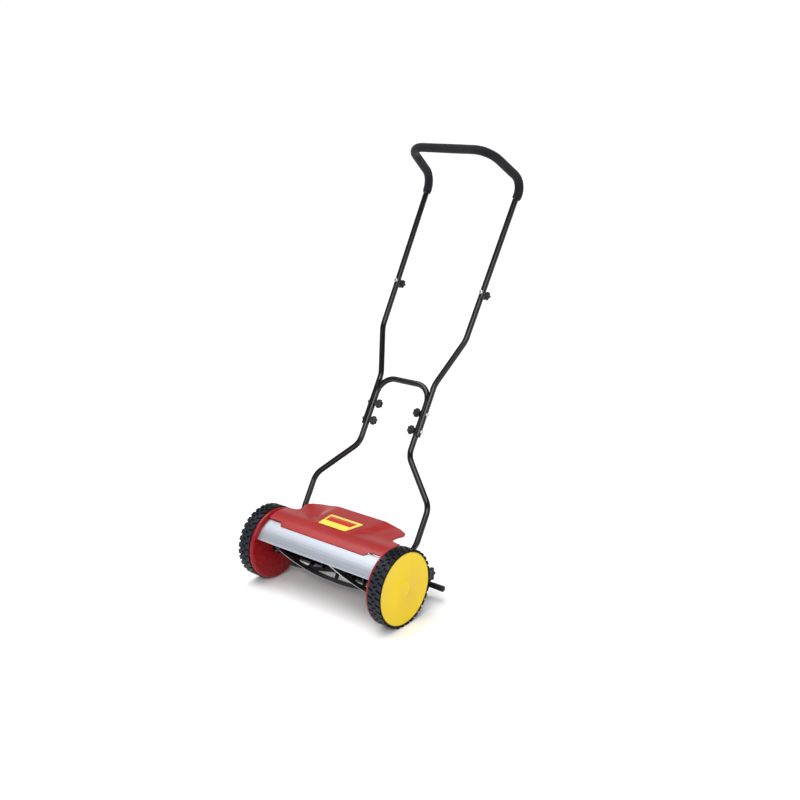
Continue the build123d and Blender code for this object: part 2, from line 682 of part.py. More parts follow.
def reel_blades():
    """Helical blades, each a flat strip twisted round the reel's axis."""
    pieces = []
    for number in range(BLADES):
        angle = blade_angle(-CUT_WIDTH / 2) + number * 360 / BLADES
        strip = Pos(REEL_R - BLADE_DEPTH / 2, 0) * Rectangle(BLADE_DEPTH, BLADE_THICK)
        trim = Circle(REEL_R) - Circle(SPIDER_R + WELD_GAP)
        face = Plane.YZ.offset(-CUT_WIDTH / 2) * Pos(*REEL) * Rot(0, 0, angle) * (strip & trim)
        centre = (-CUT_WIDTH / 2, *REEL)
        pieces.append(Solid.extrude_linear_with_rotation(face.face(), centre, (CUT_WIDTH, 0, 0), BLADE_TWIST))
    return pieces


def reel_spiders():
    """Armed discs that carry the blades on the shaft."""
    pieces = []
    end_x = CUT_WIDTH / 2 - SPIDER_INSET
    for number in range(SPIDERS):
        x = end_x * (2 * number / (SPIDERS - 1) - 1)
        face = Circle(SHAFT_R + SPIDER_HUB_WALL)
        for place in PolarLocations(SPIDER_R / 2, BLADES, start_angle=blade_angle(x)):
            face += place * Rectangle(SPIDER_R + PAST, SPIDER_ARM)
        face = (face & Circle(SPIDER_R)) - Circle(SHAFT_R + FIT)
        pieces.append(Pos(0, *REEL) * plate_x(face, x - SPIDER_THICK / 2, x + SPIDER_THICK / 2))
    return pieces


# ---- bed knife
def bed_screw_places():
    """Places of the knife's screws along X."""
    end_x = CHASSIS_X - BED_SCREW_INSET
    return [end_x * (2 * k / (BED_SCREWS - 1) - 1) for k in range(BED_SCREWS)]


def bed_knife():
    """Flat knife with a bevelled front edge."""
    back = KNIFE_Y + KNIFE_DEPTH
    under = KNIFE_Z - KNIFE_THICK
    bevel = (KNIFE_Y + KNIFE_BEVEL, under)
    edge = Polyline((KNIFE_Y, KNIFE_Z), (back, KNIFE_Z), (back, under), bevel, close=True)
    end_x = CHASSIS_X - KNIFE_END_GAP
    return plate_x(make_face(edge), -end_x, end_x) - bed_screw_holes()


def bed_screw_holes():
    """Cutters for the screws through the knife and the bar."""
    hole = Cylinder(BED_SCREW_R + HOLE, 2 * (KNIFE_THICK + BAR_THICK + PAST))
    return [Pos(x, SCREW_Y, KNIFE_Z) * hole for x in bed_screw_places()]


def bed_bar():
    """Angle bar that carries the knife between the chassis plates."""
    back = BAR_Y + BAR_DEPTH
    top = KNIFE_Z + BAR_HEIGHT
    leg = Polyline((BAR_Y, KNIFE_Z), (back, KNIFE_Z), (back, top), (back - BAR_THICK, top),
                   (back - BAR_THICK, KNIFE_Z + BAR_THICK), (BAR_Y, KNIFE_Z + BAR_THICK), close=True)
    bar = plate_x(make_face(leg), -CHASSIS_X, CHASSIS_X)
    end = block(CHASSIS_X - BAR_END, CHASSIS_X, BAR_Y + PAST, back, KNIFE_Z, top)
    for piece in both_sides(end):
        bar += piece
    for cutter in both_sides(cross_bolt_x(CHASSIS_X - BAR_END - PAST, CHASSIS_X + PAST, BED_BOLT_AT)):
        bar -= cutter
    return bar - bed_screw_holes()


def bed_screws():
    """Screws with nuts that hold the knife under the bar."""
    pieces = []
    long = KNIFE_THICK + BAR_THICK + BED_NUT_HIGH + PAST
    screw = Rot(180, 0, 0) * bolt(long, BED_NUT_R, BED_NUT_HIGH / 2, BED_SCREW_R)
    top = nut(BED_NUT_R, BED_NUT_HIGH, BED_SCREW_R + FIT)
    for x in bed_screw_places():
        pieces.append(Pos(x, SCREW_Y, KNIFE_Z - KNIFE_THICK) * screw)
        pieces.append(Pos(x, SCREW_Y, KNIFE_Z + BAR_THICK) * top)
    return pieces


def bed_bolts():
    """Cross bolts that clamp the bar's ends to the chassis plates."""
    pieces = []
    for piece in (
        facing(PLATE_X, BED_BOLT_AT, 1) * bolt(CHASSIS_THICK + BAR_END + NUT_HIGH + THREAD_OVER),
        facing(CHASSIS_X - BAR_END, BED_BOLT_AT, -1) * nut(NUT_R, NUT_HIGH, BOLT_R + FIT),
    ):
        pieces += both_sides(piece)
    return pieces


# ---- tie rods
def tie_rods():
    """Round bars between the side plates, bored at each end for a screw."""
    pieces = []
    for at in (TIE_FRONT, TIE_REAR):
        bore = rod_x(BOLT_R + FIT, PLATE_X - TIE_THREAD, PLATE_X + PAST, at)
        pieces.append(rod_x(TIE_R, -PLATE_X, PLATE_X, at) - both_sides(bore))
    return pieces


def side_screws():
    """Screws through the side plates into the tie rods and the cover's flanges, with the cover's nuts."""
    screw = bolt(SHEET + TIE_THREAD - THREAD_OVER, SMALL_HEAD_R, SMALL_HEAD_HIGH)
    pieces = []
    for at in (TIE_FRONT, TIE_REAR):
        pieces += both_sides(facing(DISH_FACE_X, at, 1) * screw)
    long = SHEET + FLANGE_THICK + NUT_HIGH + THREAD_OVER
    flange_nut = facing(PLATE_X - FLANGE_THICK, COVER_SCREW_AT, -1) * nut(NUT_R, NUT_HIGH, BOLT_R + FIT)
    pieces += both_sides(facing(DISH_FACE_X, COVER_SCREW_AT, 1) * bolt(long, SMALL_HEAD_R, SMALL_HEAD_HIGH))
    return pieces + both_sides(flange_nut)


# ---- cover, guard and label
def cover_plan():
    """Outline of the cover seen from above."""
    front_y = COVER_TOP[0][0]
    rear_y = COVER_TOP[-1][0]
    step_x = PLATE_X - FRONT_STEP
    notch_x = PLATE_X - NOTCH_IN
    tail_x = PLATE_X - TAIL_IN
    corner_x = PLATE_X - TAIL_CORNER_IN
    lug = (PLATE_X - 12, NOTCH_Y)
    right = Polyline((0, front_y), (step_x, front_y), (step_x + FRONT_STEP_WIDE, SIDE_EDGE_Y),
                     (PLATE_X, SIDE_EDGE_Y), (PLATE_X, NOTCH_Y), lug)
    notch = Spline(lug, (notch_x + 2, NOTCH_Y + 9), (notch_x, NOTCH_Y + 26), (tail_x, TAIL_Y),
                   tangents=((-1, 0), (0.2, 1)))
    tail = Polyline((tail_x, TAIL_Y), (corner_x, TAIL_CORNER_Y), (corner_x - TAIL_CORNER_LONG, rear_y),
                    (0, rear_y))
    half = make_face([right, notch, tail, Line((0, rear_y), (0, front_y))])
    tail_corners = [v for v in half.vertices() if v.X > corner_x - PAST and v.Y > TAIL_Y - PAST]
    half = fillet(tail_corners, TAIL_ROUND)
    step_corners = [v for v in half.vertices() if step_x - PAST < v.X < PLATE_X - PAST and v.Y < 0]
    half = fillet(step_corners, STEP_ROUND)
    return half + mirror(half, about=Plane.YZ)


def bonnet(lower):
    """Raised middle of the cover, bevelled along its creases."""
    front_x = PLATE_X - BONNET_FRONT[0]
    rear_x = PLATE_X - BONNET_REAR[0]
    end_x = rear_x - 8
    end_y = COVER_TOP[-1][0] + 12
    right = [(front_x, BONNET_FRONT[1]), (rear_x, BONNET_REAR[1]), (end_x, end_y)]
    outline = make_face(Polyline(*right, *[(-x, y) for x, y in reversed(right)], close=True))
    base = Plane.XY.offset(DECK_Z - BONNET_SINK - lower)
    return extrude(base * outline, amount=BONNET_RISE + BONNET_SINK, taper=BONNET_SLOPE)


def cover():
    """Moulded top cover with a raised bonnet and a screwed flange at each side plate."""
    front, rear = COVER_LINE[0], COVER_LINE[-1]
    under = [(y, z - COVER_THICK) for y, z in COVER_LINE]
    under[0] = (front[0] + COVER_LIP[0], under[0][1] + COVER_LIP[1])
    section = make_face([Spline(*COVER_LINE), Line(rear, under[-1]), Spline(*under), Line(under[0], front)])
    inner = bonnet(COVER_THICK)
    shell = plate_x(section, -PLATE_X, PLATE_X) - inner + (bonnet(0) - inner)
    shell = (shell & extrude(cover_plan(), amount=2 * DECK_Z)) - rod_x(COVER_IN_R, -PLATE_X, PLATE_X, AXLE)
    x0 = PLATE_X - FLANGE_THICK
    flange = block(x0, PLATE_X, -FLANGE_Y, FLANGE_Y, WHEEL_R + FLANGE_LOW, DECK_Z - PAST)
    behind_guard = block(0, 2 * PLATE_X, GUARD_EDGE_Y, 2 * FLANGE_Y, 0, 2 * DECK_Z)
    flange -= rod_x(COVER_IN_R, x0 - PAST, PLATE_X + PAST, AXLE) - behind_guard
    flange -= cross_bolt_x(x0 - PAST, PLATE_X + PAST, COVER_SCREW_AT)
    for side in both_sides(flange):
        shell += side
    return shell


def front_guard():
    """Curved aluminium sheet with a rolled lower hem."""
    high = 90 + GUARD_TOP
    low = 90 + GUARD_LOW
    outer = [turned(GUARD_R, a, AXLE) for a in (high, (high + low) / 2, low)]
    inner = [turned(GUARD_R - GUARD_SHEET, a, AXLE) for a in (low, (high + low) / 2, high)]
    face = make_face([
        ThreePointArc(*outer),
        Line(outer[2], inner[0]),
        ThreePointArc(*inner),
        Line(inner[2], outer[0]),
    ])
    face += Pos(*turned(GUARD_R - HEM_R, low, AXLE)) * Circle(HEM_R)
    return plate_x(face, -PLATE_X, PLATE_X)


def label_plate():
    """Bare adhesive plate on the bonnet."""
    outline = Polyline((-LABEL_FRONT, LABEL_Y[0]), (LABEL_FRONT, LABEL_Y[0]), (LABEL_REAR, LABEL_Y[1]),
                       (-LABEL_REAR, LABEL_Y[1]), close=True)
    top = Plane.XY.offset(DECK_Z + BONNET_RISE)
    return Pos(LABEL_X, 0, 0) * extrude(top * make_face(outline), amount=LABEL_THICK)


# ---- handle
def foot_bolt_places():
    return [handle_point(0, FOOT_LOW + k * FOOT_BOLT_STEP)[1:] for k in range(2)]


def foot():
    """Flattened end of the lower handle, bolted to the side plate."""
    slot = SlotOverall(FLAT_WIDE, FLAT_THICK, rotation=90)
    flat = handle_plane((FLAT_IN_X + PLATE_X) / 2, FOOT_FLAT_TOP) * slot
    round_end = handle_plane(FOOT_X, FOOT_ROUND) * Circle(TUBE_R)
    body = extrude(flat, amount=FOOT_LOW - FOOT_FLAT_TOP) + loft([flat.face(), round_end.face()])
    body += rod_x(FLAT_WIDE / 2, FLAT_IN_X, PLATE_X, handle_point(0, FOOT_LOW)[1:])
    for at in foot_bolt_places():
        body -= cross_bolt_x(FLAT_IN_X - PAST, PLATE_X + PAST, at)
    return body


def lower_handle():
    """One bent tube: two splayed feet, two legs and the arch between them."""
    right = [handle_point(FOOT_X, FOOT_ROUND), handle_point(FOOT_X, SPLAY_LOW),
             handle_point(LEG_X, SPLAY_TOP), handle_point(LEG_X, ARCH_TOP)]
    left = [(-x, y, z) for x, y, z in reversed(right)]
    bends = [LEG_BEND, LEG_BEND, ARCH_BEND, ARCH_BEND, LEG_BEND, LEG_BEND]
    body = tube(right + left, bends)
    for piece in both_sides(foot()):
        body += piece
    for along in NECK_BOLTS:
        at = handle_point(0, along)[1:]
        for cutter in both_sides(cross_bolt_x(LEG_X - 2 * TUBE_R, LEG_X + 2 * TUBE_R, at)):
            body -= cutter
    return body


def mid_tube():
    """Side tube of the handle: hollowed to nest on the lower leg, splayed, necked at its top."""
    crescent = Circle(TUBE_R) - Pos(-NEST_OFFSET, 0) * Circle(TUBE_R + FIT)
    nest = extrude(handle_plane(MID_X, MID_LOW) * crescent, amount=NEST_LONG)
    points = [handle_point(MID_X, MID_LOW + NEST_LONG), handle_point(MID_X, MID_SPLAY_LOW),
              handle_point(MID_TOP_X, MID_SPLAY_TOP), handle_point(leg_x(JOINT_LINE), JOINT_LINE)]
    body = nest + swept(points, [MID_BEND, MID_BEND], TUBE_R) + neck_bar()
    for along in NECK_BOLTS:
        body -= cross_bolt_x(MID_X - 2 * TUBE_R, MID_X + 2 * TUBE_R, handle_point(0, along)[1:])
    return body - joint_hole()


def neck_bar():
    """Reduced top end of a side tube, which slides into the upper handle."""
    low = Vector(*handle_point(leg_x(JOINT_LINE - PAST), JOINT_LINE - PAST))
    high = Vector(*handle_point(leg_x(JOINT_LINE + JOINT_NECK), JOINT_LINE + JOINT_NECK))
    along = high - low
    bar = Cylinder(TUBE_R - TUBE_WALL - FIT, along.length, align=(Align.CENTER, Align.CENTER, Align.MIN))
    return Plane(origin=low, z_dir=along) * bar


def joint_plane():
    """Plane square to a joint bolt, its z pointing out of the front of the handle."""
    return Plane(origin=handle_point(leg_x(JOINT_BOLT), JOINT_BOLT), x_dir=(1, 0, 0), z_dir=(0, -UP_Z, UP_Y))


def joint_hole():
    return joint_plane() * Cylinder(BOLT_R + HOLE, 6 * TUBE_R)


def grip_points():
    """Right half of the grip loop, from the top of the leg to the middle of the crossbar."""
    return [handle_point(GRIP_X, GRIP_START), handle_point(*ELBOW), handle_point(*CORNER)]


def upper_handle():
    """Bent tube with the crossbar held forwards of the legs."""
    right = [handle_point(leg_x(JOINT_LINE + FIT), JOINT_LINE + FIT)] + grip_points()
    left = [(-x, y, z) for x, y, z in reversed(right)]
    bends = [GRIP_BEND, ELBOW_BEND, CORNER_BEND, CORNER_BEND, ELBOW_BEND, GRIP_BEND]
    body = tube(right + left, bends)
    for hole in both_sides(joint_hole()):
        body -= hole
    return body


def foam_grip():
    """Foam sleeve round the whole grip loop."""
    right = [Vector(*p) for p in grip_points()]
    rise = (right[1] - right[0]).normalized()
    right[0] = right[0] + rise * FOAM_START
    points = [tuple(p) for p in right]
    points += [(-x, y, z) for x, y, z in reversed(points)]
    bends = [ELBOW_BEND, CORNER_BEND, CORNER_BEND, ELBOW_BEND]
    return swept(points, bends, GRIP_R) - swept(points, bends, TUBE_R + FIT)


def neck_bolts():
    """Bolts from the outside of the nested tubes into the knobs inside the legs."""
    outer = MID_X + TUBE_R
    piece = bolt(outer - LEG_X + TUBE_R + HAND_LONG - BOLT_SHORT)
    pieces = []
    for along in NECK_BOLTS:
        pieces += both_sides(facing(outer, handle_point(0, along)[1:], 1) * piece)
    return pieces


def joint_bolts():
    """Bolts from the front of the upper joints into the knobs behind them."""
    return both_sides(joint_plane() * Pos(0, 0, TUBE_R) * bolt(2 * TUBE_R + HAND_LONG - BOLT_SHORT))


def hand_knob():
    return knob(HAND_R, HAND_LONG, HAND_LOBES, BOLT_R)


def neck_knob(along):
    return facing(LEG_X - TUBE_R - GAP, handle_point(0, along)[1:], -1) * hand_knob()


def joint_knob():
    return joint_plane() * Pos(0, 0, -TUBE_R - GAP) * Rot(180, 0, 0) * hand_knob()


def foot_bolts():
    """Bolts from the wheel side of the side plate, with nuts inside the feet."""
    screw = bolt(SHEET + FLAT_THICK + NUT_HIGH + THREAD_OVER, SMALL_HEAD_R, SMALL_HEAD_HIGH)
    pieces = []
    for at in foot_bolt_places():
        pieces += both_sides(facing(DISH_FACE_X, at, 1) * screw)
        pieces += both_sides(facing(FLAT_IN_X, at, -1) * nut(NUT_R, NUT_HIGH, BOLT_R + FIT))
    return pieces


# ---- height adjuster
def roller_arm():
    """Side arm of the roller carrier."""
    pivot_eye, star_eye, roller_eye, stub_eye = ARM_EYES
    outline = Polyline((PIVOT[0], PIVOT[1] + pivot_eye), (STAR_AT[0], STAR_AT[1] + star_eye),
                       (STUB_AT[0] + 9, STUB_AT[1] + 6), (STUB_AT[0] + 6, STUB_AT[1] - 9),
                       (ROLLER_AT[0] + 7, ROLLER_AT[1] - 10), (ROLLER_AT[0] - roller_eye, ROLLER_AT[1]),
                       (STAR_AT[0] - 24, STAR_AT[1] - 22), (PIVOT[0] + 20, PIVOT[1] - 9),
                       (PIVOT[0], PIVOT[1] - pivot_eye), close=True)
    face = make_face(outline)
    for at, radius in ((PIVOT, pivot_eye), (STAR_AT, star_eye), (ROLLER_AT, roller_eye), (STUB_AT, stub_eye)):
        face += Pos(*at) * Circle(radius)
    for at in (PIVOT, STAR_AT, ROLLER_AT):
        face -= Pos(*at) * Circle(PIVOT_R + FIT)
    return plate_x(face, ARM_IN_X, ARM_OUT_X)


def adjuster_grip():
    """Finger stub on the right arm, for setting the cutting height."""
    stub = rod_x(STUB_R, ARM_OUT_X, STUB_OUT, STUB_AT)
    stub = chamfer(stub.faces().sort_by(Axis.X)[-1].edges(), STUB_CHAMFER)
    for number in range(STUB_GROOVES):
        x0 = STUB_OUT - STUB_GROOVE_INSET + number * STUB_GROOVE_STEP
        stub -= ring_x(STUB_R + PAST, STUB_R - STUB_GROOVE_DEEP, x0, x0 + STUB_GROOVE, STUB_AT)
    return stub


def pivot_bolts():
    """Shoulder bolts on which the arms swing."""
    long = DISH_FACE_X - ARM_IN_X + GAP + NUT_HIGH + THREAD_OVER
    pieces = both_sides(facing(DISH_FACE_X, PIVOT, 1) * bolt(long, PIVOT_HEAD_R, SMALL_HEAD_HIGH, PIVOT_R))
    pieces += both_sides(facing(ARM_IN_X - GAP, PIVOT, -1) * nut(PIVOT_NUT_R, NUT_HIGH, PIVOT_R + FIT))
    return pieces


def star_bolts():
    """Bolts through the arms and the curved slots into the star knobs."""
    long = STAR_LONG - BOLT_SHORT + PLATE_X + GAP - ARM_IN_X
    return both_sides(facing(ARM_IN_X, STAR_AT, -1) * bolt(long, PIVOT_NUT_R, HEAD_HIGH, PIVOT_R))


def star_knob():
    return facing(PLATE_X + GAP, STAR_AT, 1) * knob(STAR_R, STAR_LONG, STAR_LOBES, PIVOT_R)


def roller_axle():
    return rod_x(PIVOT_R, -ARM_OUT_X, ARM_OUT_X, ROLLER_AT)


def roller():
    """Rear roller, hollow between its two end hubs."""
    half = ARM_IN_X - ROLLER_END_GAP
    hollow = half - ROLLER_HUB
    body = rod_x(ROLLER_R, -half, half, ROLLER_AT) - rod_x(ROLLER_R - ROLLER_WALL, -hollow, hollow, ROLLER_AT)
    for piece in both_sides(rod_x(2 * PIVOT_R, half - PAST, ARM_IN_X - GAP, ROLLER_AT)):
        body += piece
    return body - rod_x(PIVOT_R + FIT, -ARM_IN_X, ARM_IN_X, ROLLER_AT)


# ---- writing
def save(name, *shapes):
    """One STEP file for a node; several solids stay separate inside it."""
    solids = [solid for shape in shapes for solid in shape.solids()]
    whole = solids[0] if len(solids) == 1 else Compound(solids)
    export_step(whole, f"parts/{name}.step")


def save_pair(name, shape):
    save(f"{name}_right", shape)
    save(f"{name}_left", other_side(shape))


def main():
    os.makedirs("parts", exist_ok=True)
    pairs = {
        "tyre": tyre, "wheel_core": wheel_core, "wheel_bush": wheel_bush, "wheel_cover": wheel_cover,
        "ring_gear": ring_gear, "pinion": pinion, "axle_stub": axle_stub, "side_plate": side_plate,
        "chassis_plate": chassis_plate, "bearing_housing": bearing_housing, "mid_tube": mid_tube,
        "joint_knob": joint_knob, "star_knob": star_knob, "roller_arm": roller_arm,
    }
    for name, make in pairs.items():
        save_pair(name, make())
    for word, along in zip(("low", "high"), NECK_BOLTS):
        save_pair(f"neck_knob_{word}", neck_knob(along))
    groups = {
        "axle_clips": both_sides(axle_clip()), "plate_rivets": rivets(),
        "reel_bearings": both_sides(reel_bearing()), "pawls": pawls(), "shaft_clips": shaft_clips(),
        "reel_blades": reel_blades(), "reel_spiders": reel_spiders(), "bed_screws": bed_screws(),
        "bed_bolts": bed_bolts(), "tie_rods": tie_rods(), "side_screws": side_screws(),
        "neck_bolts": neck_bolts(), "joint_bolts": joint_bolts(),
        "foot_bolts": foot_bolts(), "pivot_bolts": pivot_bolts(), "star_bolts": star_bolts(),
    }
    for name, pieces in groups.items():
        save(name, *pieces)
    singles = {
        "reel_shaft": reel_shaft, "bed_knife": bed_knife, "bed_bar": bed_bar, "cover": cover,
        "front_guard": front_guard, "label_plate": label_plate, "lower_handle": lower_handle,
        "upper_handle": upper_handle, "foam_grip": foam_grip, "roller_axle": roller_axle,
        "roller": roller, "adjuster_grip": adjuster_grip,
    }
    for name, make in singles.items():
        save(name, make())


main()
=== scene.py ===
import json
import math

import bmesh
import bpy
from mathutils import Matrix, Vector, noise
from mathutils.geometry import delaunay_2d_cdt


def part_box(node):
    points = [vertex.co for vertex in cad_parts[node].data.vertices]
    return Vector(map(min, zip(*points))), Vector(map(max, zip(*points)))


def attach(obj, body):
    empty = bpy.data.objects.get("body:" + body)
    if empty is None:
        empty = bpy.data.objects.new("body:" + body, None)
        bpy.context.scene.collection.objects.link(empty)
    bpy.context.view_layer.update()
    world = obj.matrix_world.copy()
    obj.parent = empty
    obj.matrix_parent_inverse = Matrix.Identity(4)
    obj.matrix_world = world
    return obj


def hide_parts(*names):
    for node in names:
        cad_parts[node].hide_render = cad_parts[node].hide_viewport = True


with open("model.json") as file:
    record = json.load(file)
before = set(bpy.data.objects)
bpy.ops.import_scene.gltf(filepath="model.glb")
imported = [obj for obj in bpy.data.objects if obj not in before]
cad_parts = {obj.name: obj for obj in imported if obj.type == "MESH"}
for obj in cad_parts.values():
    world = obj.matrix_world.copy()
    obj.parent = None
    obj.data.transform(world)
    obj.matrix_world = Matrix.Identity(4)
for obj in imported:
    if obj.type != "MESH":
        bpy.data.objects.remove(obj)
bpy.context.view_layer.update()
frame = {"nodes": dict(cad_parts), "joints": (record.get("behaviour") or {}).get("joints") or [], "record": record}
NODES = frame["nodes"]
SIDES = ((-1, "left"), (1, "right"))
MM = 0.001

# ---- camera: viewing angle in degrees, place in metres, lens in millimetres
AZIMUTH = 38.994
ELEVATION = 16.356
CAMERA_AT = (1.7309, -1.8568, 1.2825)
LENS = 47.92
SENSOR_WIDE = 36.0
VIEW_DISTANCE = 100

# ---- light: places and sizes in metres, powers in watts, the sun's angle in degrees
SUN_AT, SUN_POWER, SUN_ANGLE = (-0.5, -0.3, 3.0), 2.5, 55
BOXES = (  # name, place, width, height, power
    ("right_box", (2.6, -0.6, 1.5), 1.4, 1.4, 3.0),
    ("front_box", (3.2, -4.7, 4.6), 6.5, 2.6, 230.0),
)
LAMPS_AIM = (0, 0.1, 0.3)
SKY_BAND = (0.10, 0.35)  # heights of a view ray between which the surround dims
SKY_LIGHT = (1.02, 0.35)  # strength below and above them
FLOOR_SIZE = 60
FLOOR_TONES = (0.93, 0.95)

# ---- shading: levels that noise is spread from, and edge angles in degrees
BAND = (0.3, 0.7)
HIGH_BAND = (0.35, 0.75)
WHOLE = (0.0, 1.0)
BUMP_HIGH = 0.5 * MM
WORN_PALER = 2.2
CREASE, TREAD_CREASE, RIM_CREASE = 35, 40, 50
CAD_SMOOTH = 32
CAD_WELD = 0.002 * MM

# ---- reel, from the frame
REEL_LOW, REEL_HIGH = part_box("reel_blades")
REEL_R = (REEL_HIGH.z - REEL_LOW.z) / 2
REEL_AXIS = ((REEL_LOW.y + REEL_HIGH.y) / 2, (REEL_LOW.z + REEL_HIGH.z) / 2)
LAND = (REEL_R - 0.7 * MM, REEL_R - 0.3 * MM)  # radii between which a blade's land turns bright

# ---- wheels: sizes from the frame, and profiles that follow them
TYRE_LOW, TYRE_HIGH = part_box("tyre_right")
WHEEL_R = (TYRE_HIGH.z - TYRE_LOW.z) / 2
AXLE_Z = (TYRE_HIGH.z + TYRE_LOW.z) / 2
WHEEL_IN_X, WHEEL_OUT_X = TYRE_LOW.x, TYRE_HIGH.x
DISC_LOW, DISC_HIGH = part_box("wheel_cover_right")
DISC_R = (DISC_HIGH.z - DISC_LOW.z) / 2
BEAD_R = 86.6 * MM
BASE_R = WHEEL_R - 3.6 * MM
LIP_R = DISC_R + 0.4 * MM
SEAT_X = WHEEL_OUT_X - 3.4 * MM
FACE_X = WHEEL_OUT_X - 0.4 * MM
BACK_X = FACE_X - 3.2 * MM
SKIRT_R = 83.8 * MM
CENTRE_R = 0.6 * MM
TYRE_STEPS, DISC_STEPS = 192, 256


def steps_from(x, radius, steps):
    """Profile points (x, radius) given as steps in millimetres from one place."""
    return [(x + dx * MM, radius + dr * MM) for dx, dr in steps]


CARCASS = (
    steps_from(WHEEL_IN_X, BEAD_R, ((1, 0), (0.2, 1.5), (0, 3), (0.6, 4), (0.6, 6), (0, 7)))
    + steps_from(WHEEL_IN_X, BASE_R, ((0.5, -1.2), (2.2, -0.1), (5, 0)))
    + steps_from(WHEEL_OUT_X, BASE_R, ((-5, 0), (-2.2, -0.1), (-0.6, -0.9), (0, -1.6)))
    + steps_from(WHEEL_OUT_X, LIP_R, ((0, 0.5), (-0.5, 0)))
    + [(SEAT_X, LIP_R), (SEAT_X, BEAD_R)]
)
DISC_PROFILE = (
    steps_from(FACE_X, 0.0, ((-0.9, 0.6), (-0.9, 15.5), (-0.5, 16.4), (-0.1, 17.4), (0, 18.6),
                             (0, 20.2), (-0.2, 21.2), (-0.9, 22.2), (-0.9, 60)))
    + steps_from(FACE_X, DISC_R, ((-0.8, -7.5), (-0.5, -6.2), (-0.05, -4.6), (0, -3.2),
                                  (-0.1, -1.8), (-0.6, -0.6), (-1.5, 0)))
    + [(BACK_X, DISC_R)]
    + steps_from(BACK_X, SKIRT_R, ((0, 0), (-8, 0), (-8, -2), (0, -2)))
    + [(BACK_X, CENTRE_R)]
)

# ---- tread: three rows of skewed lugs
LUG_COUNT = 34
LUG_STEP = 2 * math.pi / LUG_COUNT
LUG_PITCH = LUG_STEP * WHEEL_R
LUG_EDGE = 1.1 * MM
LUG_CORNER_R = 1.2 * MM
LUG_CORNER_STEPS = 3
LUG_SKEW, MIDDLE_SKEW, LUG_HALF = 0.12 * LUG_PITCH, -0.10 * LUG_PITCH, 0.30 * LUG_PITCH
TREAD_WIDE = WHEEL_OUT_X - WHEEL_IN_X
LUG_ROWS = (  # from x, to x, skew, half length round the tyre
    (WHEEL_IN_X + LUG_EDGE, WHEEL_IN_X + 0.33 * TREAD_WIDE, LUG_SKEW, LUG_HALF),
    (WHEEL_IN_X + 0.40 * TREAD_WIDE, WHEEL_IN_X + 0.60 * TREAD_WIDE, MIDDLE_SKEW, LUG_HALF),
    (WHEEL_IN_X + 0.67 * TREAD_WIDE, WHEEL_OUT_X - LUG_EDGE, LUG_SKEW, LUG_HALF),
)
LUG_LEVELS = (  # radius, growth of the outline there
    (BASE_R - 1.0 * MM, 0.5 * MM), (BASE_R + 0.4 * MM, 0.2 * MM), (WHEEL_R - 0.8 * MM, 0.0),
    (WHEEL_R - 0.2 * MM, -0.5 * MM), (WHEEL_R - 0.05 * MM, -1.1 * MM),
)

# ---- knobs: profile as shares of a knob's length and radius, and the shape of its lobes
KNOB_PROFILE = (
    (0.0, 0.05), (0.0, 0.56), (0.02, 0.60), (0.26, 0.60), (0.31, 0.66), (0.36, 0.86), (0.40, 0.95),
    (0.46, 1.0), (0.86, 1.0), (0.94, 0.96), (0.985, 0.89), (1.0, 0.80), (1.0, 0.62), (0.965, 0.56),
    (0.955, 0.05),
)
HAND_LOBES, STAR_LOBES = (6, 0.30), (7, 0.35)  # lobes, depth between them as a share
LOBE_STEPS = 16
LOBE_POWER = 1.5
LOBE_FROM, LOBE_RISE = 0.62, 0.3  # share of the radius where lobes begin, share to grow over

# ---- height adjuster's stub: shares of its length and radius, and its knurl
STUB_STEPS, STUB_RINGS = 96, 60
STUB_TAPER = (0.98, 1.06)
STUB_END = 0.94
STUB_DOME = 0.75
KNURL_SPAN = (0.16, 0.9)
KNURL_STARTS = 12
KNURL_PITCH = 4.5 * MM
KNURL_DEEP = 0.3 * MM

# ---- handle: places are (half width, along the handle, out of its plane towards the front)
TUBE_R = 8 * MM
TUBE_WALL = 1.2 * MM
HANDLE_FOOT_Y = 4.5 * MM
HANDLE_SLOPE = 0.5863
HANDLE_LENGTH = math.hypot(1, HANDLE_SLOPE)
UP = Vector((0, HANDLE_SLOPE, 1)) / HANDLE_LENGTH
OUT = Vector((0, -1, HANDLE_SLOPE)) / HANDLE_LENGTH
ACROSS = Vector((1, 0, 0))
RING_STEPS = 56
RING_GAP = 2.5 * MM
ARC_STEPS_LEAST = 4

PLATE_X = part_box("cover")[1].x
FLAT_THICK = 9 * MM
FLAT_WIDE = 20 * MM
FOOT_LOW = 128 * MM
FOOT_FLAT_TOP = 175.6 * MM
FOOT_ROUND = 203.6 * MM
FOOT_X = PLATE_X + 1 * MM
FLAT_X = PLATE_X - FLAT_THICK / 2
FOOT_STEPS, FLAT_STEPS = 10, 6
FOOT_END_ANGLES = (15, 30, 45, 60, 72, 82)
FOOT_SQUARE = 0.45

LEG_X = 86 * MM
SPLAY = (296 * MM, 410 * MM)
ARCH_TOP = 603 * MM
LEG_BEND, ARCH_BEND = 50 * MM, 48 * MM

NEST_OFFSET = 6 * MM
NEST_GAP = 0.1 * MM
NEST_LONG = 126 * MM
MID_X = LEG_X + NEST_OFFSET
MID_LOW = 464 * MM
MID_SPLAY = (610 * MM, 742.6 * MM)
MID_TOP_X = 142 * MM
MID_BEND = 70 * MM
MID_CHAMFER = 0.4 * MM
JOINT_LINE = 862 * MM
NECK_IN = TUBE_WALL + 0.05 * MM
NECK_LONG = 44 * MM
NECK_CHAMFER = 1 * MM
NECK_STATIONS = (  # how far in from the tube's skin, how far past the joint line
    (0.0, -0.6 * MM), (0.2 * MM, -0.2 * MM), (0.6 * MM, 0.0), (NECK_IN, 0.0),
    (NECK_IN, NECK_LONG - NECK_CHAMFER), (NECK_IN + NECK_CHAMFER, NECK_LONG),
)

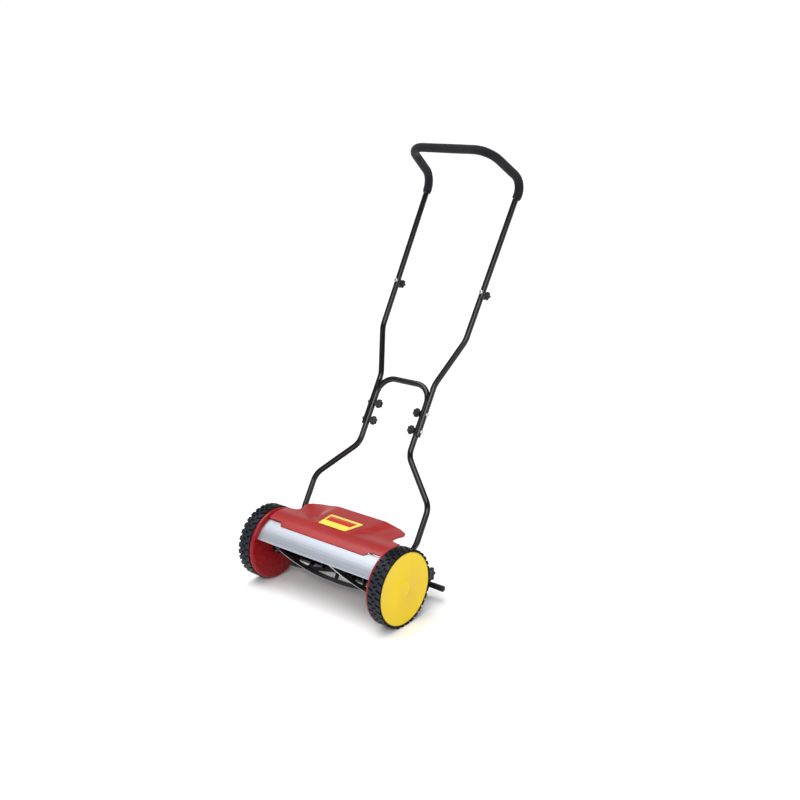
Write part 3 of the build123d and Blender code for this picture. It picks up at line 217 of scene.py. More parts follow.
GRIP_START = (151.0 * MM, 1149.0 * MM, 0.0)
ELBOW = (155.6 * MM, 1203.0 * MM, -7.0 * MM)
CORNER = (130.2 * MM, 1215.0 * MM, 155.0 * MM)
GRIP_BEND, ELBOW_BEND, CORNER_BEND = 60 * MM, 42 * MM, 55 * MM
SOCKET_GAP = 0.1 * MM
SOCKET_EDGE = ((0.4 * MM, 0.05 * MM), (0.0, 0.5 * MM))  # in from the skin, in from the open end

GRIP_R = 12.5 * MM
FOAM_START = 6 * MM
FOAM_SLACK = 0.4 * MM
FOAM_LIP, FOAM_LIP_LONG = 1.0 * MM, 2 * MM
FOAM_BORE = TUBE_R + 0.1 * MM
FOAM_LUMPS, FOAM_LUMP_TURN, FOAM_LUMP_HIGH = 45, 0.6, 0.28 * MM

# ---- cover, label and guard, in millimetres: their meshes are made in millimetres and scaled
COVER_PROFILE = ((-40.0, 176.6), (-24.0, 187.4), (0.0, 194.0), (42.0, 191.6), (94.0, 192.0),
                 (120.0, 191.0))  # y, height
COVER_THICK = 2.5
COVER_OUTLINE = (  # corner, its radius
    ((144, -40), 3), ((152, -30), 3), ((196, -30), 2), ((196, 41), 3), ((184, 41), 4),
    ((165, 46), 7), ((163, 64), 14), ((172, 86), 12), ((163, 102), 12), ((135, 117), 16),
    ((118, 120), 8),
)
COVER_RIM_GAP, COVER_GAP = 3.0, 4.0
COVER_EDGES = (0.8, 0.4)  # radii of the upper and lower edge
BONNET_TOP = 197.6
BONNET_WALLS = (((0, -2), (0, 1)), ((62, -2), (-40, 24)), ((86, 38), (-82, 42)))  # point, way in
BONNET_RUN = (13.0, 44.0)  # width of the walls in front and at the rear
BONNET_FADE = (40.0, 118.0)  # y between which they widen
BONNET_SOFT = 2.5
BONNET_REACH = 60.0
FLANGE_THICK, FLANGE_HALF, FLANGE_LOW, FLANGE_EDGE = 3.0, 26.0, 170.0, 0.3
FLANGE_SINK = 0.75 * COVER_THICK
FLANGE_STEPS = 6
CORNER_STEPS = 8
CORNER_SHARE = 0.45  # most of a side that a rounded corner may take
TOP_EDGE_ANGLES, LOW_EDGE_ANGLES = (90, 60, 30, 0), (0, 45, 90)
FIELD_INSET = 0.6
SHEET_WELD = 0.02 * MM
TRIANGLES_INSIDE, CDT_EPSILON = 1, 1e-4

LABEL_MIDDLE = Vector((-3.0, 0.0))
LABEL_CORNERS = (((-46, 4), 4), ((46, 4), 4), ((56, 66), 4), ((-56, 66), 4))
PRINT_CORNERS = (((-44, 30), 1), ((40, 30), 1), ((44, 57), 1), ((-49, 57), 1))
LABEL_TOP = 198.1
LABEL_THICK = 0.44
PRINT_STANDS = 0.06
PRINT_THICK = 0.1
FILM_RIM_GAP, FILM_GAP = 4.0, 8.0
FILM_TOP_EDGE, FILM_LOW_EDGE = 0.15, 0.02

GUARD_R = 84.0
GUARD_SHEET = 1.2
GUARD_FROM, GUARD_TO = 110.0, 152.8  # degrees about the axle
GUARD_STEPS, GUARD_SLICES = 48, 40
GUARD_LIP = 0.3
GUARD_SIDE_EDGE = 0.2
HEM_R = 1.9
HEM_TURN, HEM_STEPS = 270, 24
HEM_CLEAR = 3  # steps that the sheet's inner face stops short of the hem


def between(a, b, t):
    """The number a share of the way from a to b."""
    return a + (b - a) * t


def eased(t):
    """Smooth step from 0 to 1."""
    t = min(1.0, max(0.0, t))
    return t * t * (3 - 2 * t)


def angles(steps):
    """Angles evenly round a circle."""
    return [2 * math.pi * k / steps for k in range(steps)]


# ---- materials
class Graph:
    """A material's node tree, with short calls for the nodes used here."""

    def __init__(self, name):
        self.material = bpy.data.materials.new(name)
        self.material.use_nodes = True
        self.tree = self.material.node_tree
        self.tree.nodes.clear()
        self.shader = self.node("BsdfPrincipled")
        self.node("OutputMaterial", Surface=self.shader.outputs["BSDF"])
        self.place = self.node("TexCoord").outputs["Object"]

    def node(self, kind, **inputs):
        """New node of a kind, with its inputs filled in."""
        made = self.tree.nodes.new(f"ShaderNode{kind}")
        self.fill(made, inputs)
        return made

    def fill(self, node, inputs):
        """Set a node's inputs by name, with _ for a space."""
        for name, value in inputs.items():
            self.feed(node.inputs[name.replace("_", " ")], value)

    def feed(self, target, value):
        """Link a socket, or set a number, a vector or a colour."""
        if isinstance(value, bpy.types.NodeSocket):
            self.tree.links.new(value, target)
        else:
            target.default_value = (*value, 1.0) if target.type == "RGBA" else value

    def stretched(self, scale):
        """Object coordinates with each axis scaled."""
        return self.node("Mapping", Vector=self.place, Scale=scale).outputs["Vector"]

    def noise(self, scale, detail, rough=0.5, at=None):
        """Fractal noise, on the object's coordinates unless others are given."""
        made = self.node("TexNoise", Vector=at or self.place, Scale=scale, Detail=detail,
                         Roughness=rough)
        return made.outputs["Fac"]

    def cells(self, scale):
        """Distance to the nearest of many scattered points."""
        return self.node("TexVoronoi", Vector=self.place, Scale=scale).outputs["Distance"]

    def spread(self, value, band=BAND, to=WHOLE):
        """Map a value's range onto another range."""
        made = self.node("MapRange", Value=value, From_Min=band[0], From_Max=band[1],
                         To_Min=to[0], To_Max=to[1])
        return made.outputs["Result"]

    def cloud(self, scale, detail, rough=0.5, band=BAND, to=WHOLE):
        """Noise whose levels in a band are mapped onto a range."""
        return self.spread(self.noise(scale, detail, rough), band, to)

    def mixed(self, fac, a, b):
        """Mix two colours, each a tuple or a socket."""
        made = self.node("Mix", Factor=fac)
        made.data_type = "RGBA"
        for socket, value in zip([s for s in made.inputs if s.type == "RGBA"], (a, b)):
            self.feed(socket, value)
        return next(s for s in made.outputs if s.type == "RGBA")

    def from_axis(self, centre):
        """Distance from an axis along X through (y, z)."""
        shifted = self.node("Mapping", Vector=self.place, Scale=(0.0, 1.0, 1.0),
                            Location=(0.0, -centre[0], -centre[1]))
        length = self.node("VectorMath")
        length.operation = "LENGTH"
        self.feed(length.inputs[0], shifted.outputs["Vector"])
        return length.outputs["Value"]

    def worn(self, low, high):
        """Where an edge sticks out, from the mesh's pointiness."""
        return self.spread(self.node("NewGeometry").outputs["Pointiness"], (low, high))

    def bump(self, height, strength, distance=BUMP_HIGH, under=None):
        """Normal raised by a height, on top of another bump if one is given."""
        made = self.node("Bump", Height=height, Strength=strength, Distance=distance)
        if under is not None:
            self.feed(made.inputs["Normal"], under)
        return made.outputs["Normal"]

    def set(self, **values):
        """Constants and sockets on the shader; gives the material."""
        self.fill(self.shader, values)
        return self.material


def srgb(red, green, blue):
    """Screen colour, 0 to 255, as linear light."""
    def linear(value):
        value = value / 255
        return value / 12.92 if value <= 0.04045 else ((value + 0.055) / 1.055) ** 2.4
    return (linear(red), linear(green), linear(blue))


def mottled(name, dark, light, tone, rubbed, grain, worn=None, **constants):
    """Two tones in clouds, patchy roughness and a fine grain, paler on worn edges.

    tone and rubbed are what Graph.cloud takes, grain is a bump's strength and its noise, and
    worn is a range of pointiness and a colour.
    """
    g = Graph(name)
    colour = g.mixed(g.cloud(*tone), dark, light)
    if worn:
        colour = g.mixed(g.worn(*worn[0]), colour, worn[1])
    strength, *fine = grain
    return g.set(Base_Color=colour, Roughness=g.cloud(*rubbed),
                 Normal=g.bump(g.noise(*fine), strength), **constants)


def moulded_black(name, dark, light, roughness):
    """Black moulded plastic with a fine spark-eroded grain."""
    pale = tuple(min(1.0, c * WORN_PALER) for c in light)
    return mottled(name, dark, light, (25, 5), (90, 4, 0.5, BAND, roughness), (0.12, 1400, 2),
                   ((0.53, 0.62), pale), Specular_IOR_Level=0.25)


def label_film(name, dark, light):
    """Printed film with a slight gloss."""
    return mottled(name, dark, light, (50, 4), (120, 4, 0.5, BAND, (0.25, 0.35)), (0.03, 300, 2),
                   Specular_IOR_Level=0.3)


def brushed_aluminium():
    """Sheet brushed along X, with a few deeper draw lines."""
    g = Graph("brushed_aluminium")
    lines = g.noise(1.0, 8, 0.75, g.stretched((3, 900, 900)))
    wide = g.noise(1.0, 3, 0.6, g.stretched((2, 260, 260)))
    colour = g.mixed(g.spread(wide), srgb(174, 181, 192), srgb(192, 197, 206))
    grooves = g.bump(lines, 0.25, 0.0003)
    return g.set(Base_Color=colour, Metallic=0.8, Roughness=g.spread(lines, BAND, (0.32, 0.5)),
                 Normal=g.bump(wide, 0.05, 0.0004, grooves))


def blade_steel():
    """Black-painted steel strip, its cutting land ground bright; the dark paint is also painted shade under the
    deck.
    """
    g = Graph("blade_steel")
    scale = g.noise(70, 6, 0.7)
    # dark paint tones: black paint, kept this dark also as painted shade under the deck
    paint_and_shade = g.mixed(g.spread(scale, (0.35, 0.7)), srgb(17, 18, 21), srgb(34, 35, 39))
    land = g.spread(g.from_axis(REEL_AXIS), LAND)
    return g.set(Base_Color=g.mixed(land, paint_and_shade, srgb(206, 208, 212)),
                 Metallic=g.spread(land, WHOLE, (0.0, 0.8)),
                 Roughness=g.cloud(200, 4, to=(0.3, 0.5)),
                 Normal=g.bump(scale, 0.06), Specular_IOR_Level=0.25)


def foam_rubber():
    """Closed-cell foam with fine pores and a soft bloom."""
    g = Graph("foam_rubber")
    pores = g.bump(g.cells(900), 0.3, 0.0006)
    return g.set(Base_Color=g.mixed(g.cloud(20, 5), srgb(19, 19, 23), srgb(31, 31, 36)),
                 Roughness=g.cloud(200, 3, to=(0.62, 0.8)),
                 Normal=g.bump(g.noise(60, 3), 0.12, 0.002, pores),
                 Sheen_Weight=0.05, Sheen_Roughness=0.5, Specular_IOR_Level=0.15)


FINISH = {
    # hard rubber: blue-black, scuffed pale on the lugs
    "tyre_rubber": mottled(
        "tyre_rubber", srgb(8, 11, 15), srgb(18, 21, 27), (30, 6, 0.65, (0.4, 0.75)),
        (110, 5, 0.5, BAND, (0.38, 0.58)), (0.12, 500, 4), ((0.52, 0.60), srgb(36, 40, 48)),
        Specular_IOR_Level=0.15),
    "wheel_plastic": moulded_black(
        "wheel_plastic", srgb(18, 19, 22), srgb(30, 31, 35), (0.4, 0.6)),
    # moulded yellow plastic
    "disc_yellow": mottled(
        "disc_yellow", srgb(230, 197, 12), srgb(224, 190, 8), (8, 4),
        (60, 6, 0.6, BAND, (0.32, 0.44)), (0.05, 700, 2), Specular_IOR_Level=0.3),
    # gloss paint on pressed sheet
    "red_paint": mottled(
        "red_paint", srgb(146, 7, 18), srgb(124, 4, 13), (9, 4),
        (80, 5, 0.7, HIGH_BAND, (0.22, 0.38)), (0.05, 500, 2), Specular_IOR_Level=0.3),
    # moulded red plastic with a satin gloss and a very fine grain
    "red_cover": mottled(
        "red_cover", srgb(156, 23, 23), srgb(146, 19, 19), (6, 4),
        (20, 3, 0.5, HIGH_BAND, (0.28, 0.36)), (0.02, 500, 2), Coat_Weight=0.10,
        Coat_Roughness=0.25),
    # stoved gloss paint on bent tube: faint orange peel, dust and fine rub marks
    "black_steel": mottled(
        "gloss_black", srgb(3, 3, 4), srgb(10, 10, 12), (14, 5, 0.5, (0.45, 0.8)),
        (60, 6, 0.7, HIGH_BAND, (0.08, 0.16)), (0.015, 300, 2), Specular_IOR_Level=0.42),
    # bright zinc plating with a faint cloud
    "zinc_steel": mottled(
        "zinc_steel", srgb(176, 178, 182), srgb(204, 206, 209), (120, 5, 0.6),
        (260, 4, 0.5, BAND, (0.2, 0.34)), (0.04, 120, 5, 0.6), Metallic=0.9),
    # black-painted blades and bed knife, their dark paint also painted shade under the deck
    "blade_steel": blade_steel(),
    # black nylon, slightly mottled
    "gear_nylon": mottled(
        "gear_nylon", srgb(20, 20, 22), srgb(34, 34, 37), (40, 4, 0.5, WHOLE),
        (150, 3, 0.5, BAND, (0.4, 0.6)), (0.1, 600, 2), Specular_IOR_Level=0.2),
    # sintered bronze
    "bushing": mottled(
        "bronze", srgb(150, 116, 66), srgb(196, 160, 100), (90, 5, 0.5, WHOLE),
        (200, 3, 0.5, BAND, (0.3, 0.5)), (0.08, 800, 2), Metallic=1.0),
    "guard_aluminium": brushed_aluminium(),
    "foam": foam_rubber(),
    "knob_plastic": moulded_black(
        "knob_plastic", srgb(16, 18, 22), srgb(30, 32, 37), (0.38, 0.55)),
    "label_yellow": label_film("label_yellow", srgb(255, 212, 66), srgb(252, 220, 100)),
}
RED_PRINT = label_film("label_red", srgb(184, 30, 8), srgb(192, 46, 14))


# ---- mesh helpers
def as_object(name, verts, faces, weld=0.0):
    """New object with outward normals and smooth faces; weld joins points nearer than it."""
    mesh = bpy.data.meshes.new(name)
    mesh.from_pydata(verts, [], faces)
    mesh.validate()
    work = bmesh.new()
    work.from_mesh(mesh)
    if weld:
        bmesh.ops.remove_doubles(work, verts=work.verts, dist=weld)
    bmesh.ops.recalc_face_normals(work, faces=work.faces)
    for face in work.faces:
        face.smooth = True
    work.to_mesh(mesh)
    work.free()
    piece = bpy.data.objects.new(name, mesh)
    bpy.context.scene.collection.objects.link(piece)
    return piece


def sharpen(piece, degrees=CREASE):
    """Shade edges sharper than an angle as sharp."""
    work = bmesh.new()
    work.from_mesh(piece.data)
    for edge in work.edges:
        if len(edge.link_faces) == 2 and edge.calc_face_angle(0) > math.radians(degrees):
            edge.smooth = False
    work.to_mesh(piece.data)
    work.free()
    return piece


def wall(rings, first=0, looped=False):
    """Faces over a stack of rings: capped at both ends, or with the last joined to the first."""
    count = len(rings[0])
    faces = []
    for i in range(len(rings) if looped else len(rings) - 1):
        a = first + i * count
        b = first + (i + 1) % len(rings) * count
        faces += [(a + k, a + (k + 1) % count, b + (k + 1) % count, b + k) for k in range(count)]
    if not looped:
        last = first + (len(rings) - 1) * count
        faces += [tuple(reversed(range(first, first + count))), tuple(range(last, last + count))]
    return faces


def skin(name, rings, looped=False):
    """Object from rings of points."""
    return as_object(name, [tuple(p) for ring in rings for p in ring], wall(rings, looped=looped))


def joined(*pieces):
    """One object out of several, with the first one's name."""
    name = pieces[0].name
    verts, faces = [], []
    for piece in pieces:
        first = len(verts)
        verts += [tuple(v.co) for v in piece.data.vertices]
        faces += [tuple(first + k for k in face.vertices) for face in piece.data.polygons]
    for piece in pieces:
        bpy.data.objects.remove(piece)
    return as_object(name, verts, faces)


def finished(piece, slot, body, *nodes, material=None):
    """Give a piece its material, its body and the CAD nodes that it stands for."""
    piece.data.materials.append(material or FINISH[slot])
    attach(piece, body)
    if nodes:
        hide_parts(*nodes)


def rounded(corners, steps):
    """Closed outline through (corner, radius) pairs, each corner rounded."""
    result = []
    total = len(corners)
    for i, (_, radius) in enumerate(corners):
        before, here, after = (Vector(corners[(i + k) % total][0]) for k in (-1, 0, 1))
        one, two = (before - here).normalized(), (after - here).normalized()
        turn = math.pi - one.angle(two)
        room = CORNER_SHARE * min((before - here).length, (after - here).length)
        reach = min(radius * math.tan(turn / 2), room)
        for k in range(steps + 1):
            t = k / steps
            result.append((here + one * reach * (1 - t)) * (1 - t) + (here + two * reach * t) * t)
    return result


def straight_run(start, end, gap):
    """Points and tangents from start to just short of end."""
    length = (end - start).length
    direction = (end - start).normalized()
    count = max(1, round(length / gap))
    return [(start + direction * length * k / count, direction) for k in range(count)]


def path_points(corners, radii, gap):
    """Points and tangents along straight runs joined by arcs."""
    points = []
    at = corners[0]
    for before, here, after, radius in zip(corners, corners[1:], corners[2:], radii):
        one, two = (here - before).normalized(), (after - here).normalized()
        turn = one.angle(two)
        reach = radius * math.tan(turn / 2)
        start = here - one * reach
        axis = one.cross(two).normalized()
        centre = start + axis.cross(one) * radius
        points += straight_run(at, start, gap)
        direction = points[-1][1]
        count = max(ARC_STEPS_LEAST, round(turn * (start - centre).length / gap))
        for k in range(count):
            spin = Matrix.Rotation(turn * k / count, 4, axis)
            points.append((centre + spin @ (start - centre), (spin @ direction).normalized()))
        at = here + two * reach
    points += straight_run(at, corners[-1], gap)
    return points + [(corners[-1], points[-1][1])]


# ---- wheels
def on_wheel(side, x, radius, angle):
    """Point about a wheel's axle; the left wheel is a mirror image."""
    return Vector((side * x, radius * math.cos(angle), AXLE_Z + radius * math.sin(angle)))


def lathe(name, profile, side, steps, looped):
    """Turn a profile of (x, radius) about a wheel's axle."""
    rings = [[on_wheel(side, x, radius, a) for a in angles(steps)] for x, radius in profile]
    return skin(name, rings, looped)


def lug_outline(row, growth):
    """A lug's outline as (x, length round the tyre), skewed along the tread."""
    low, high, skew, half = row
    corners = [(low, -half - skew), (high, skew - half), (high, half + skew), (low, half - skew)]
    middle = sum((Vector(c) for c in corners), Vector((0, 0))) / len(corners)
    grown = []
    for corner in corners:
        away = Vector(corner) - middle
        step = Vector((math.copysign(growth, away.x), math.copysign(growth, away.y)))
        grown.append((Vector(corner) + step, LUG_CORNER_R))
    return rounded(grown, LUG_CORNER_STEPS)


def tread(side, word):
    """Chamfered lugs in three rows, the middle row half a step on."""
    verts, faces = [], []
    for number, row in enumerate(LUG_ROWS):
        outlines = [(radius, lug_outline(row, growth)) for radius, growth in LUG_LEVELS]
        for lug in range(LUG_COUNT):
            angle = (lug + 0.5 * (number % 2)) * LUG_STEP
            rings = [[on_wheel(side, x, radius, angle + arc / WHEEL_R) for x, arc in outline]
                     for radius, outline in outlines]
            faces += wall(rings, len(verts))
            verts += [tuple(point) for ring in rings for point in ring]
    return as_object(f"tread_{word}", verts, faces)


def tyre(side, word):
    """Ribbed carcass with its tread."""
    carcass = lathe(f"tyre_{word}_moulded", CARCASS, side, TYRE_STEPS, True)
    body = joined(carcass, tread(side, word))
    finished(sharpen(body, TREAD_CREASE), "tyre_rubber", f"wheel_{word}", f"tyre_{word}")


def wheel_cover(side, word):
    """Yellow disc with a rolled rim and a plain badge ring pressed in its middle."""
    disc = lathe(f"cover_disc_{word}", DISC_PROFILE, side, DISC_STEPS, False)
    finished(sharpen(disc, RIM_CREASE), "disc_yellow", f"wheel_{word}", f"wheel_cover_{word}")


# ---- knobs and the adjuster's stub
def knob(name, way, lobes, depth):
    """Lobed hand knob about its joint's axis, as long and as wide as its CAD node."""
    joint = next(j for j in frame["joints"] if j["name"] == f"{name}_turn")
    axis = Vector(joint["axis"]).normalized() * way
    centre = Vector(joint["pos_m"])
    offsets = [v.co - centre for v in NODES[name].data.vertices]
    places = [offset.dot(axis) for offset in offsets]
    wide = max((offset - axis * along).length for offset, along in zip(offsets, places))
    long = max(places) - min(places)
    turn = axis.to_track_quat("Z", "Y").to_matrix().to_4x4()
    place = Matrix.Translation(centre + axis * min(places)) @ turn
    rings = []
    for t, share in KNOB_PROFILE:
        cut = depth * min(1.0, max(0.0, (share - LOBE_FROM) / LOBE_RISE))
        ring = []
        for angle in angles(lobes * LOBE_STEPS):
            dip = cut * (0.5 - 0.5 * math.cos(lobes * angle)) ** LOBE_POWER
            r = wide * share * (1 - dip)
            ring.append(place @ Vector((r * math.cos(angle), r * math.sin(angle), long * t)))
        rings.append(ring)
    piece = skin(f"{name}_moulded", rings)
    finished(sharpen(piece, RIM_CREASE), "knob_plastic", name, name)


def adjuster_grip():
    """Tapered finger stub with a diamond knurl and a rounded end."""
    low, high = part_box("adjuster_grip")
    radius = (high.z - low.z) / 2
    middle = Vector((0, (low.y + high.y) / 2, (low.z + high.z) / 2))
    rings = []
    for i in range(STUB_RINGS + 1):
        t = i / STUB_RINGS
        x = between(low.x, high.x, t)
        end = max(0.0, (t - STUB_END) / (1 - STUB_END))
        base = radius * between(*STUB_TAPER, t) * math.sqrt(max(0.0, 1 - STUB_DOME * end ** 2))
        twist = (x - low.x) / KNURL_PITCH * math.pi
        deep = KNURL_DEEP if KNURL_SPAN[0] < t < KNURL_SPAN[1] else 0.0
        ring = []
        for angle in angles(STUB_STEPS):
            wave = math.sin(KNURL_STARTS * angle + twist) * math.sin(KNURL_STARTS * angle - twist)
            r = base - deep * max(0.0, wave)
            ring.append(middle + Vector((x, r * math.cos(angle), r * math.sin(angle))))
        rings.append(ring)
    finished(skin("adjuster_grip_knurled", rings), "knob_plastic", "roller_carrier",
             "adjuster_grip")


# ---- handle
def handle_point(x, along, out=0.0):
    """Point in the handle's plane, along it and out of it towards the front."""
    return Vector((x, HANDLE_FOOT_Y, 0)) + UP * along + OUT * out


def leg_x(along):
    """Half width of the handle at a place along its upper legs."""
    share = (along - MID_SPLAY[1]) / (GRIP_START[1] - MID_SPLAY[1])
    return between(MID_TOP_X, GRIP_START[0], share)


def mirrored(points):
    """The same path on the other side, run the other way."""
    return [Vector((-p.x, p.y, p.z)) for p in reversed(points)]


def round_section(radius):
    """A round tube's offsets, as tube_rings takes them."""
    return lambda i, angle: (radius * math.cos(angle), radius * math.sin(angle))


def tube_rings(spine, section):
    """Rings along a spine of (point, tangent); section(i, angle) gives a point's two offsets."""
    rings = []
    side = ACROSS
    for i, (at, along) in enumerate(spine):
        side = (side - along * side.dot(along)).normalized()
        third = along.cross(side)
        ring = []
        for angle in angles(RING_STEPS):
            a, b = section(i, angle)
            ring.append(at + side * a + third * b)
        rings.append(ring)
    return rings


def shrunk(ring, amount, shift):
    """A ring drawn in towards its middle and moved."""
    middle = sum(ring, Vector()) / len(ring)
    return [p + (middle - p).normalized() * amount + shift for p in ring]


def foot_rings(side):
    """Rings from the round tube down to the flattened end bolted inside the side plate."""
    stations = [(between(FOOT_ROUND, FOOT_FLAT_TOP, k / FOOT_STEPS), k / FOOT_STEPS)
                for k in range(FOOT_STEPS + 1)]
    stations += [(between(FOOT_FLAT_TOP, FOOT_LOW, k / FLAT_STEPS), 1.0)
                 for k in range(1, FLAT_STEPS + 1)]
    stations += [(FOOT_LOW - FLAT_WIDE / 2 * math.sin(math.radians(a)), 1.0)
                 for a in FOOT_END_ANGLES]
    rings = []
    for along, flat in stations:
        below = max(0.0, FOOT_LOW - along)
        width = FLAT_WIDE * math.sqrt(max(0.0, 1 - (2 * below / FLAT_WIDE) ** 2))
        soft = eased(flat)
        centre = handle_point(side * between(FOOT_X, FLAT_X, soft), along)
        half_thick = between(TUBE_R, FLAT_THICK / 2, soft)
        half_wide = between(TUBE_R, width / 2, soft)
        ring = []
        for angle in angles(RING_STEPS):
            c = math.cos(angle)
            a = math.copysign(abs(c) ** (1 - FOOT_SQUARE * soft), c) * half_thick
            b = math.sin(angle) * half_wide
            ring.append(centre + ACROSS * a * side + OUT * b * side)
        rings.append(ring)
    return rings


def lower_handle():
    """One bent tube: two splayed feet, two legs and the arch between them."""
    right = [handle_point(FOOT_X, FOOT_ROUND), handle_point(FOOT_X, SPLAY[0]),
             handle_point(LEG_X, SPLAY[1]), handle_point(LEG_X, ARCH_TOP)]
    bends = [LEG_BEND, LEG_BEND, ARCH_BEND]
    spine = path_points(right + mirrored(right), bends + bends[::-1], RING_GAP)
    body = skin("lower_handle_tube", tube_rings(spine, round_section(TUBE_R)))
    feet = [skin("foot", foot_rings(side)) for side in (1, -1)]
    finished(sharpen(joined(body, *feet)), "black_steel", "frame", "lower_handle")


def mid_tube(side, word):
    """Side tube of the handle: hollowed to nest on the lower leg, splayed, necked at its top."""
    corners = [handle_point(MID_X, MID_LOW), handle_point(MID_X, MID_SPLAY[0]),
               handle_point(MID_TOP_X, MID_SPLAY[1]), handle_point(leg_x(JOINT_LINE), JOINT_LINE)]
    spine = path_points(corners, [MID_BEND, MID_BEND], RING_GAP)
    hollow = TUBE_R + NEST_GAP
    cross_x = (hollow ** 2 - TUBE_R ** 2 - NEST_OFFSET ** 2) / (2 * NEST_OFFSET)
    cross_y = math.sqrt(TUBE_R ** 2 - cross_x ** 2)
    own = math.atan2(cross_y, cross_x)
    other = math.atan2(cross_y, cross_x + NEST_OFFSET)
    plain = round_section(TUBE_R)

    def section(i, angle):
        nested = (spine[i][0] - handle_point(0, 0)).dot(UP) < MID_LOW + NEST_LONG
        if not nested or angle <= own or angle >= 2 * math.pi - own:
            return plain(i, angle)
        turn = other * (1 - (angle - own) / (math.pi - own))
        return hollow * math.cos(turn) - NEST_OFFSET, hollow * math.sin(turn)

    rings = tube_rings(spine, section)
    last, along = rings.pop(), spine[-1][1]
    rings[0] = shrunk(rings[0], MID_CHAMFER, Vector())
    rings += [shrunk(last, inwards, along * past) for inwards, past in NECK_STATIONS]
    if side < 0:
        rings = [[Vector((-p.x, p.y, p.z)) for p in ring] for ring in rings]
    piece = skin(f"mid_tube_{word}_bent", rings)
    finished(sharpen(piece), "black_steel", "frame", f"mid_tube_{word}")


def upper_handle():
    """Bent tube with the crossbar held forwards of the legs; its ends are open sockets."""
    right = [handle_point(leg_x(JOINT_LINE), JOINT_LINE)]
    right += [handle_point(*p) for p in (GRIP_START, ELBOW, CORNER)]
    right[0] += (right[1] - right[0]).normalized() * SOCKET_GAP
    bends = [GRIP_BEND, ELBOW_BEND, CORNER_BEND]
    spine = path_points(right + mirrored(right), bends + bends[::-1], RING_GAP)
    outer = tube_rings(spine, round_section(TUBE_R))
    inner = tube_rings(spine, round_section(TUBE_R - TUBE_WALL))
    start, end = ([shrunk(outer[i], inwards, way * past) for inwards, past in SOCKET_EDGE]
                  for i, way in ((0, spine[0][1]), (-1, -spine[-1][1])))
    outer = start + outer[1:-1] + end[::-1]
    piece = skin("upper_handle_tube", outer + inner[::-1], True)
    finished(sharpen(piece, RIM_CREASE), "black_steel", "frame", "upper_handle")


def foam_grip():
    """Foam sleeve pushed over the whole loop, lipped at its ends and slightly uneven."""
    right = [handle_point(*place) for place in (GRIP_START, ELBOW, CORNER)]
    right[0] += (right[1] - right[0]).normalized() * FOAM_START
    bends = [ELBOW_BEND, CORNER_BEND]
    spine = path_points(right + mirrored(right), bends + bends[::-1], RING_GAP)

    def section(i, angle):
        from_end = min(i, len(spine) - 1 - i) * RING_GAP
        lip = FOAM_LIP * max(0.0, 1 - from_end / FOAM_LIP_LONG) ** 2
        c, s = math.cos(angle), math.sin(angle)
        spot = spine[i][0] * FOAM_LUMPS + Vector((c, s, 0)) * FOAM_LUMP_TURN
        radius = GRIP_R - FOAM_SLACK - lip + noise.noise(spot) * FOAM_LUMP_HIGH
        return radius * c, radius * s

    bore = tube_rings(spine, round_section(FOAM_BORE))
    piece = skin("foam_grip_sleeve", tube_rings(spine, section) + bore[::-1], True)
    finished(piece, "foam", "frame", "foam_grip")


# ---- sheets: outlines in millimetres
def resampled(outline, gap):
    """An outline with no two neighbours further apart than a gap."""
    result = []
    for i, here in enumerate(outline):
        after = outline[(i + 1) % len(outline)]
        count = max(1, math.ceil((after - here).length / gap))
        result += [here.lerp(after, k / count) for k in range(count)]
    return result


def inset(outline, amount):
    """A counter-clockwise outline drawn in."""
    result = []
    for i, here in enumerate(outline):
        way = (outline[(i + 1) % len(outline)] - outline[i - 1]).normalized()
        result.append(here + Vector((-way.y, way.x)) * amount)
    return result


def holds(outline, point):
    """Whether an outline holds a point."""
    inside = False
    for i, a in enumerate(outline):
        b = outline[i - 1]
        if (a.y > point.y) != (b.y > point.y):
            if point.x < (b.x - a.x) * (point.y - a.y) / (b.y - a.y) + a.x:
                inside = not inside
    return inside


def field_points(outline, gap):
    """Staggered grid inside an outline."""
    low = Vector((min(p.x for p in outline), min(p.y for p in outline)))
    high = Vector((max(p.x for p in outline), max(p.y for p in outline)))
    columns = int((high.x - low.x) / gap)
    rows = int((high.y - low.y) / gap)
    field = inset(outline, gap * FIELD_INSET)
    grid = [low + Vector(((i + 0.5 * (j % 2)) * gap, j * gap))
            for j in range(1, rows + 1) for i in range(columns + 1)]
    return [p for p in grid if holds(field, p)]


def edge_bands(radius, degrees, inwards=1):
    """Places round an edge as (distance in, distance from its flat face)."""
    return [(radius * (1 - math.cos(a)), radius * (1 - math.sin(a)) * inwards)
            for a in map(math.radians, degrees)]


def moulded_sheet(name, outline, height, thick, gap, edges):
    """Sheet over a closed outline, its top at height(x, y), with rounded edges."""
    top_r, low_r = edges
    bands = edge_bands(top_r, TOP_EDGE_ANGLES)
    bands += [(inwards, thick + up) for inwards, up in edge_bands(low_r, LOW_EDGE_ANGLES, -1)]
    verts, faces = [], []

    def add(points, drop):
        verts.extend((p.x, p.y, height(p.x, p.y) - drop) for p in points)

    count = len(outline)
    for number, (inwards, drop) in enumerate(bands):
        add(inset(outline, inwards), drop)
        if number:
            a, b = (number - 1) * count, number * count
            faces += [(a + k, b + k, b + (k + 1) % count, a + (k + 1) % count)
                      for k in range(count)]
    grid = field_points(outline, gap)
    loop = [(k, (k + 1) % count) for k in range(count)]
    for inwards, drop in (bands[0], bands[-1]):
        points, _, cells, *_ = delaunay_2d_cdt(inset(outline, inwards) + grid, loop,
                                               [list(range(count))], TRIANGLES_INSIDE, CDT_EPSILON)
        first = len(verts)
        add(points, drop)
        faces += [tuple(first + k for k in cell) for cell in cells]
    return as_object(name, [tuple(c * MM for c in v) for v in verts], faces, SHEET_WELD)


